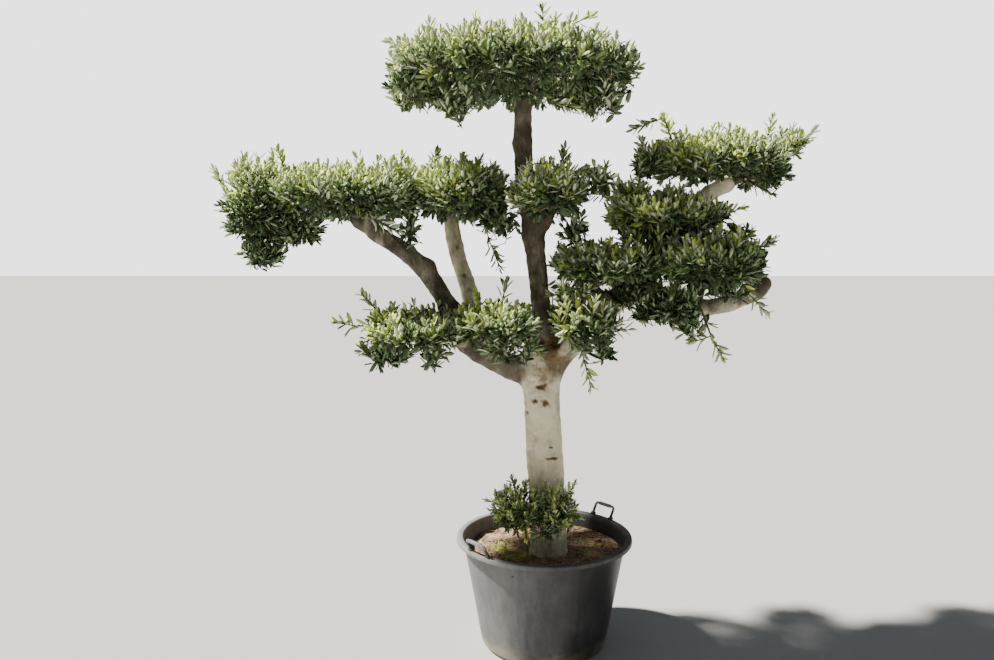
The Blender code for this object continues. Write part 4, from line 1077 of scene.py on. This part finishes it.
def soil_surface():
    """Potting soil: reddish brown crumbs, dry pale patches, and moss where the mesh says."""
    material, shader, here = new_surface("potting_soil", roughness=0.95, specular=0.15)
    crumbs = here.noise(120.0, 5.0, 0.7)
    patches = here.noise(11.0, 4.0, 0.6)
    moss = attribute(here, "moss")
    colour = (patches + (crumbs - 0.5) * 0.9).between(0.34, 0.72).tint(rgb(92, 70, 58), rgb(176, 148, 130))
    grit = here.noise(420.0, 2.0, 0.8).between(0.60, 0.70)
    colour = grit.node("ShaderNodeMix", {0: grit * 0.5, 6: colour, 7: rgb(206, 186, 158)}, output=2, data_type="RGBA")
    green = here.noise(60.0, 4.0).between(0.4, 0.65).tint(rgb(112, 116, 52), rgb(176, 172, 92))
    spread = (moss + (crumbs - 0.5) * 0.8).between(0.30, 0.65)
    colour = spread.node("ShaderNodeMix", {0: spread, 6: colour, 7: green}, output=2, data_type="RGBA")
    wear(shader, here, colour, height=crumbs + here.noise(38.0, 4.0) * 0.8, depth=0.006, strength=0.8)
    return material


def soil_height(points):
    """The soil's level: flat round the trunk, falling to the wall, with lumps and a crumbly surface."""
    radius = np.hypot(points[:, 0], points[:, 1])
    level = SOIL_SEAT + (SOIL_EDGE - SOIL_SEAT) * fade(radius, 0.13, 0.29)
    flat = np.column_stack([points[:, :2], np.zeros(len(points))])
    lumps = 0.0045 * rumple(flat, 0.085, 21) + 0.0022 * rumple(flat, 0.030, 22) + 0.0011 * rumple(flat, 0.011, 23)
    return level - 0.001 + lumps * fade(0.315 - radius, 0.0, 0.02)


def moss_cover(points):
    """Where moss grows: a cushion left of the trunk and thinner patches at the right and the back."""
    cover = np.zeros(len(points))
    for x, y, width, depth, strength in (
        (-0.10, -0.10, 0.085, 0.055, 1.0), (-0.17, 0.00, 0.06, 0.09, 0.7), (0.19, 0.05, 0.06, 0.05, 0.6),
        (0.05, 0.17, 0.12, 0.05, 0.6), (-0.05, -0.20, 0.05, 0.03, 0.5),
    ):
        away = ((points[:, 0] - x) / width) ** 2 + ((points[:, 1] - y) / depth) ** 2
        cover = np.maximum(cover, strength * np.exp(-away))
    return cover


def make_soil():
    """The soil as a disc of rings whose heights follow the lumps, closed by a wall and a floor in the tub."""
    radii = np.concatenate([[0.0], np.linspace(0.006, 0.3105, 70)])
    profile = [(r, SOIL_SEAT) for r in radii] + [(0.307, 0.355), (0.246, 0.0165), (0.235, 0.0046), (0.0, 0.0046)]
    points, faces = turned(profile, SOIL_SIDES)
    top = np.arange(len(points)) < len(radii) * SOIL_SIDES
    points[top, 2] = soil_height(points[top])
    wall = SHOULDER_RADIUS - TUB_WALL + (RIM_RADIUS - RIM_TOP_WIDTH - SHOULDER_RADIUS) * (points[:, 2] - SHOULDER_HEIGHT) / (
        TUB_HEIGHT - SHOULDER_HEIGHT)
    radius = np.hypot(points[:, 0], points[:, 1])
    outer = top & (radius > 0.3104)
    points[outer, :2] *= ((wall - 0.0006) / np.maximum(radius, 1e-9))[outer, None]
    soil = place_piece("soil_bed", points, faces[:, ::-1], [soil_surface()], "soil", ["soil"], soft_angle=70)
    weld(soil)
    points = np.array([v.co for v in soil.data.vertices])
    values = moss_cover(points).astype(np.float32)
    soil.data.attributes.new("moss", "FLOAT", "POINT").data.foreach_set("value", values)
    return soil


def weld(piece):
    """Merges the points that lie on each other, as at a turned form's poles, and drops collapsed faces."""
    modifier = piece.modifiers.new("weld", "WELD")
    modifier.merge_threshold = 0.00001
    bpy.context.view_layer.update()
    graph = bpy.context.evaluated_depsgraph_get()
    mesh = bpy.data.meshes.new_from_object(piece.evaluated_get(graph), depsgraph=graph)
    piece.modifiers.clear()
    piece.data = mesh


def tub_profile():
    """Up the inside from the floor's middle, over the rolled rim and its skirt, and down the outside."""
    rim_inner = RIM_RADIUS - RIM_TOP_WIDTH
    skirt_foot = TUB_HEIGHT - SKIRT_HEIGHT
    corners = [
        (0.0, TUB_WALL),
        (BASE_RADIUS - BASE_CORNER, TUB_WALL),
        (BASE_RADIUS - TUB_WALL, BASE_CORNER),
        (SHOULDER_RADIUS - TUB_WALL, SHOULDER_HEIGHT),
        (rim_inner, TUB_HEIGHT),
        (RIM_RADIUS, TUB_HEIGHT),
        (RIM_RADIUS + 0.001, skirt_foot),
        (RIM_RADIUS - TUB_WALL, skirt_foot),
        (RIM_RADIUS - TUB_WALL, TUB_HEIGHT - 0.008),
        (rim_inner + 0.004, TUB_HEIGHT - 0.010),
        (SHOULDER_RADIUS, SHOULDER_HEIGHT),
        (BASE_RADIUS, BASE_CORNER),
        (BASE_RADIUS - BASE_CORNER, 0.0),
        (0.0, 0.0),
    ]
    radii = [0.010, 0.010, 0.030, 0.008, 0.010, 0.0015, 0.0015, 0.003, 0.006, 0.030, 0.010, 0.010]
    return rounded(corners, radii, 5)


def make_tub():
    """The tub: a turned profile, a little out of round, with its drain holes cut and two soft dents."""
    points, faces = turned(tub_profile(), TUB_SIDES)
    angle = np.arctan2(points[:, 1], points[:, 0])
    away = np.hypot(points[:, 0], points[:, 1])
    height = points[:, 2]
    sway = 0.0012 * np.sin(2 * angle + 0.6) * fade(height, 0.05, 0.40)
    for turn, level, width, tall, depth in ((-1.47, 0.175, 0.10, 0.012, 0.0022), (-1.95, 0.09, 0.22, 0.05, 0.0016)):
        sway = sway - depth * np.exp(-(((angle - turn) / width) ** 2) - ((height - level) / tall) ** 2)
    points[:, :2] *= (1 + sway / np.maximum(away, 0.02) * (away > 0.1))[:, None]
    tub = place_piece("tub", points, faces, [tub_surface()], "tub", ["pot"])
    weld(tub)
    pegs = []
    for k in range(DRAIN_HOLES):
        turn = 2 * math.pi * (k + DRAIN_TURN) / DRAIN_HOLES
        out = np.array((math.cos(turn), math.sin(turn), 0.0))
        middle = (BASE_RADIUS - BASE_CORNER / 2) * out + BASE_CORNER / 2 * UP
        way = unit(out - UP)
        path = middle + np.linspace(-0.03, 0.03, 2)[:, None] * way
        pegs.append(tube(path, np.full(2, DRAIN_RADIUS), 20))
    peg_points, peg_faces = joined(pegs)
    mesh = bpy.data.meshes.new("drain_pegs")
    mesh.from_pydata(peg_points, [], peg_faces)
    cutter = bpy.data.objects.new("drain_pegs", mesh)
    bpy.context.scene.collection.objects.link(cutter)
    weld(cutter)
    recalculate(cutter)
    cut = tub.modifiers.new("drains", "BOOLEAN")
    cut.operation = "DIFFERENCE"
    cut.object = cutter
    bpy.context.view_layer.update()
    graph = bpy.context.evaluated_depsgraph_get()
    mesh = bpy.data.meshes.new_from_object(tub.evaluated_get(graph), depsgraph=graph)
    tub.modifiers.clear()
    tub.data = mesh
    bpy.data.objects.remove(cutter)
    mesh.shade_smooth()
    mesh.set_sharp_from_angle(angle=math.radians(32))
    return tub


def recalculate(piece):
    """Turns every face outwards."""
    bm = bmesh.new()
    bm.from_mesh(piece.data)
    bmesh.ops.recalc_face_normals(bm, faces=bm.faces)
    bm.to_mesh(piece.data)
    bm.free()


def make_handle(name, turn, surface):
    """A bent bar with a thicker ribbed grip, on two rounded feet that stand on the rim."""
    half = HANDLE_SPREAD / 2
    corner = 0.010
    bend = np.radians(np.linspace(0, 90, 9))
    arm = np.column_stack([np.full(8, half), np.linspace(0.001, HANDLE_RISE - corner, 8)])
    curve = np.column_stack([half - corner * (1 - np.cos(bend)), HANDLE_RISE - corner * (1 - np.sin(bend))])
    flat = np.column_stack([np.linspace(half - corner, 0, 30)[1:], np.full(29, HANDLE_RISE)])
    side = np.concatenate([arm, curve[1:], flat])
    route = np.concatenate([side, (side * (-1, 1))[-2::-1]])
    lean = HANDLE_LEAN * np.maximum(route[:, 1] - 0.008, 0)
    path = np.column_stack([lean, route[:, 0], route[:, 1]])
    ribs = 0.00035 * np.sin(route[:, 0] * 2 * math.pi / 0.006)
    on_grip = fade(half - 0.016 - np.abs(route[:, 0]), 0.0, 0.003) * (route[:, 1] > HANDLE_RISE - 0.001)
    radii = 0.0055 + (0.0020 + ribs) * on_grip + 0.0016 * fade(0.016 - route[:, 1], 0.0, 0.012)
    parts = [tube(path, radii, 20)]
    around, up = np.meshgrid(np.linspace(0, 2 * math.pi, 28, endpoint=False), np.linspace(-1, 1, 13))
    flatness = np.abs(up) ** 5
    ring = np.sqrt(np.maximum(1 - flatness, 0))
    for end in (-half, half):
        cosine, sine = np.cos(around), np.sin(around)
        x = 0.0075 * ring * np.sign(cosine) * np.abs(cosine) ** 0.5
        y = end + 0.0120 * ring * np.sign(sine) * np.abs(sine) ** 0.5
        z = 0.0042 + 0.0040 * up
        parts.append((np.stack([x, y, z], axis=-1).reshape(-1, 3), grid_faces(13, 28)))
    points, faces = joined(parts)
    points = points + (math.sqrt((RIM_RADIUS - HANDLE_INSET) ** 2 - half**2), 0, TUB_HEIGHT)
    cosine, sine = math.cos(turn), math.sin(turn)
    points = points @ np.array([(cosine, sine, 0), (-sine, cosine, 0), (0, 0, 1)])
    handle = place_piece(name + "_loop", points, faces, [surface], "handles", [name])
    weld(handle)
    recalculate(handle)
    handle.data.shade_smooth()
    handle.data.set_sharp_from_angle(angle=math.radians(50))
    return handle


def litter_spots(rng, count, reach=0.300):
    """Places scattered evenly over the soil, clear of the trunk, with the soil's height at each."""
    radius = np.sqrt(rng.uniform(0.10**2, reach**2, count))
    angle = rng.uniform(0, 2 * math.pi, count)
    points = np.column_stack([radius * np.cos(angle), radius * np.sin(angle), np.zeros(count)])
    points[:, 2] = soil_height(points)
    return points


def make_litter():
    """Dry straw, small stones and fallen leaves on the soil."""
    rng = np.random.default_rng(77)
    straw = straw_surface()
    old_leaf = [leaf_surface("fallen_leaf", rgb(146, 118, 82), 0.7), leaf_surface("fallen_leaf_under", rgb(170, 154, 122), 0.8)]
    stone = pebble_surface()
    spots = litter_spots(rng, 420)
    angle = rng.uniform(0, 2 * math.pi, len(spots))
    way = np.column_stack([np.cos(angle), np.sin(angle), rng.uniform(-0.05, 0.22, len(spots))])
    reach = rng.uniform(0.012, 0.055, len(spots))[:, None]
    thin = rng.uniform(0.0004, 0.0010, len(spots))
    ends = spots + reach * unit(way)
    inside = np.hypot(ends[:, 0], ends[:, 1]) < 0.302
    ends[:, 2] = np.maximum(ends[:, 2], soil_height(ends) + 0.0005)
    spots[:, 2] += 0.0008
    place_piece("straw", *rods(spots[inside], ends[inside], thin[inside], 0.6 * thin[inside], 4), [straw], "soil")

    spots = litter_spots(rng, 130, 0.285)
    spots[:, 2] += 0.002
    angle = rng.uniform(0, 2 * math.pi, len(spots))
    direction = unit(np.column_stack([np.cos(angle), np.sin(angle), rng.uniform(-0.02, 0.16, len(spots))]))
    face = rng.normal(0, 0.25, (len(spots), 3)) + UP
    face = unit(face - (face * direction).sum(-1, keepdims=True) * direction)
    points, faces = leaf_mesh(spots, direction, face, rng.uniform(0.030, 0.052, len(spots)), 0.28)
    place_piece("fallen_leaves", points, faces, old_leaf, "soil", slots=np.tile(np.repeat([0, 1], 8), len(spots)))

    spots = np.concatenate([litter_spots(rng, 150, 0.302), [(0.255, -0.155, 0.3905)]])
    size = np.append(rng.uniform(0.0020, 0.0060, 150), 0.0075)
    around, up = np.meshgrid(np.linspace(0, 2 * math.pi, 8, endpoint=False), np.linspace(-1, 1, 5))
    ring = np.sqrt(1 - up**2)
    ball = np.stack([ring * np.cos(around), ring * np.sin(around), 0.7 * up], axis=-1).reshape(-1, 3)
    shapes = spots[:, None] + size[:, None, None] * (ball * rng.uniform(0.75, 1.25, (len(spots), len(ball), 3)) ** 0.5)
    ball_faces = grid_faces(5, 8)
    numbers = ball_faces + (np.arange(len(spots)) * len(ball))[:, None, None]
    stones = place_piece("stones", shapes.reshape(-1, 3), numbers.reshape(-1, 4), [stone], "soil", soft_angle=80)
    return stones


def straw_surface():
    """Dry straw: pale yellow, browner and greener from piece to piece."""
    material, shader, here = new_surface("dry_straw", roughness=0.8, specular=0.3)
    patches = here.noise(34.0, 3.0)
    colour = patches.between(0.35, 0.65).tint(rgb(196, 172, 112), rgb(222, 204, 150))
    green = patches.between(0.60, 0.70)
    wear(shader, here, green.tint(colour, rgb(168, 170, 96)), height=here.noise(400.0), depth=0.0004)
    return material


def pebble_surface():
    """Small stones: grey with pale patches."""
    material, shader, here = new_surface("grey_stone", roughness=0.9, specular=0.3)
    wear(shader, here, here.noise(90.0, 3.0).between(0.35, 0.65).tint(rgb(138, 128, 116), rgb(206, 200, 190)))
    return material


def make_studio():
    """A pale floor, a soft key light from the upper left, and even pale light all round."""
    size = 30.0
    points = np.array([(-size, -size, 0), (size, -size, 0), (size, size, 0), (-size, size, 0)], float)
    mesh = bpy.data.meshes.new("floor")
    mesh.from_pydata(points, [], [(0, 1, 2, 3)])
    floor = bpy.data.objects.new("floor", mesh)
    bpy.context.scene.collection.objects.link(floor)
    mesh.materials.append(new_surface("pale_floor", (0.42, 0.42, 0.42, 1.0), 0.9, 0.1)[0])

    world = bpy.data.worlds.new("studio_air")
    world.use_nodes = True
    nodes, links = world.node_tree.nodes, world.node_tree.links
    fill, backdrop = nodes["Background"], nodes.new("ShaderNodeBackground")
    fill.inputs[0].default_value = (0.88, 0.94, 1.0, 1.0)
    fill.inputs[1].default_value = 0.22
    backdrop.inputs[1].default_value = 3.5
    seen, mix = nodes.new("ShaderNodeLightPath"), nodes.new("ShaderNodeMixShader")
    links.new(seen.outputs["Is Camera Ray"], mix.inputs[0])
    links.new(fill.outputs[0], mix.inputs[1])
    links.new(backdrop.outputs[0], mix.inputs[2])
    links.new(mix.outputs[0], nodes["World Output"].inputs[0])
    bpy.context.scene.world = world

    key = bpy.data.objects.new("key_light", bpy.data.lights.new("key_light", "SUN"))
    bpy.context.scene.collection.objects.link(key)
    key.data.energy = 15.0
    key.data.angle = math.radians(3.0)
    key.data.color = (1.0, 0.96, 0.87)
    key.rotation_mode = "QUATERNION"
    key.rotation_quaternion = Vector(-SUN).to_track_quat("-Z", "Y")

    camera = bpy.data.objects.new("camera", bpy.data.cameras.new("camera"))
    bpy.context.scene.collection.objects.link(camera)
    camera.data.sensor_width = 36.0
    camera.data.lens = 31.57
    camera.location = (-0.19, -3.40, 1.65)
    camera.rotation_euler = (math.radians(90.0 - 6.38), 0.0, 0.0)
    bpy.context.scene.camera = camera


make_studio()
make_bark()
make_crown()
make_tub()
make_soil()
handle_plastic = grip_surface()
for handle_name, handle_turn in HANDLE_TURNS.items():
    make_handle(handle_name, handle_turn, handle_plastic)
make_litter()
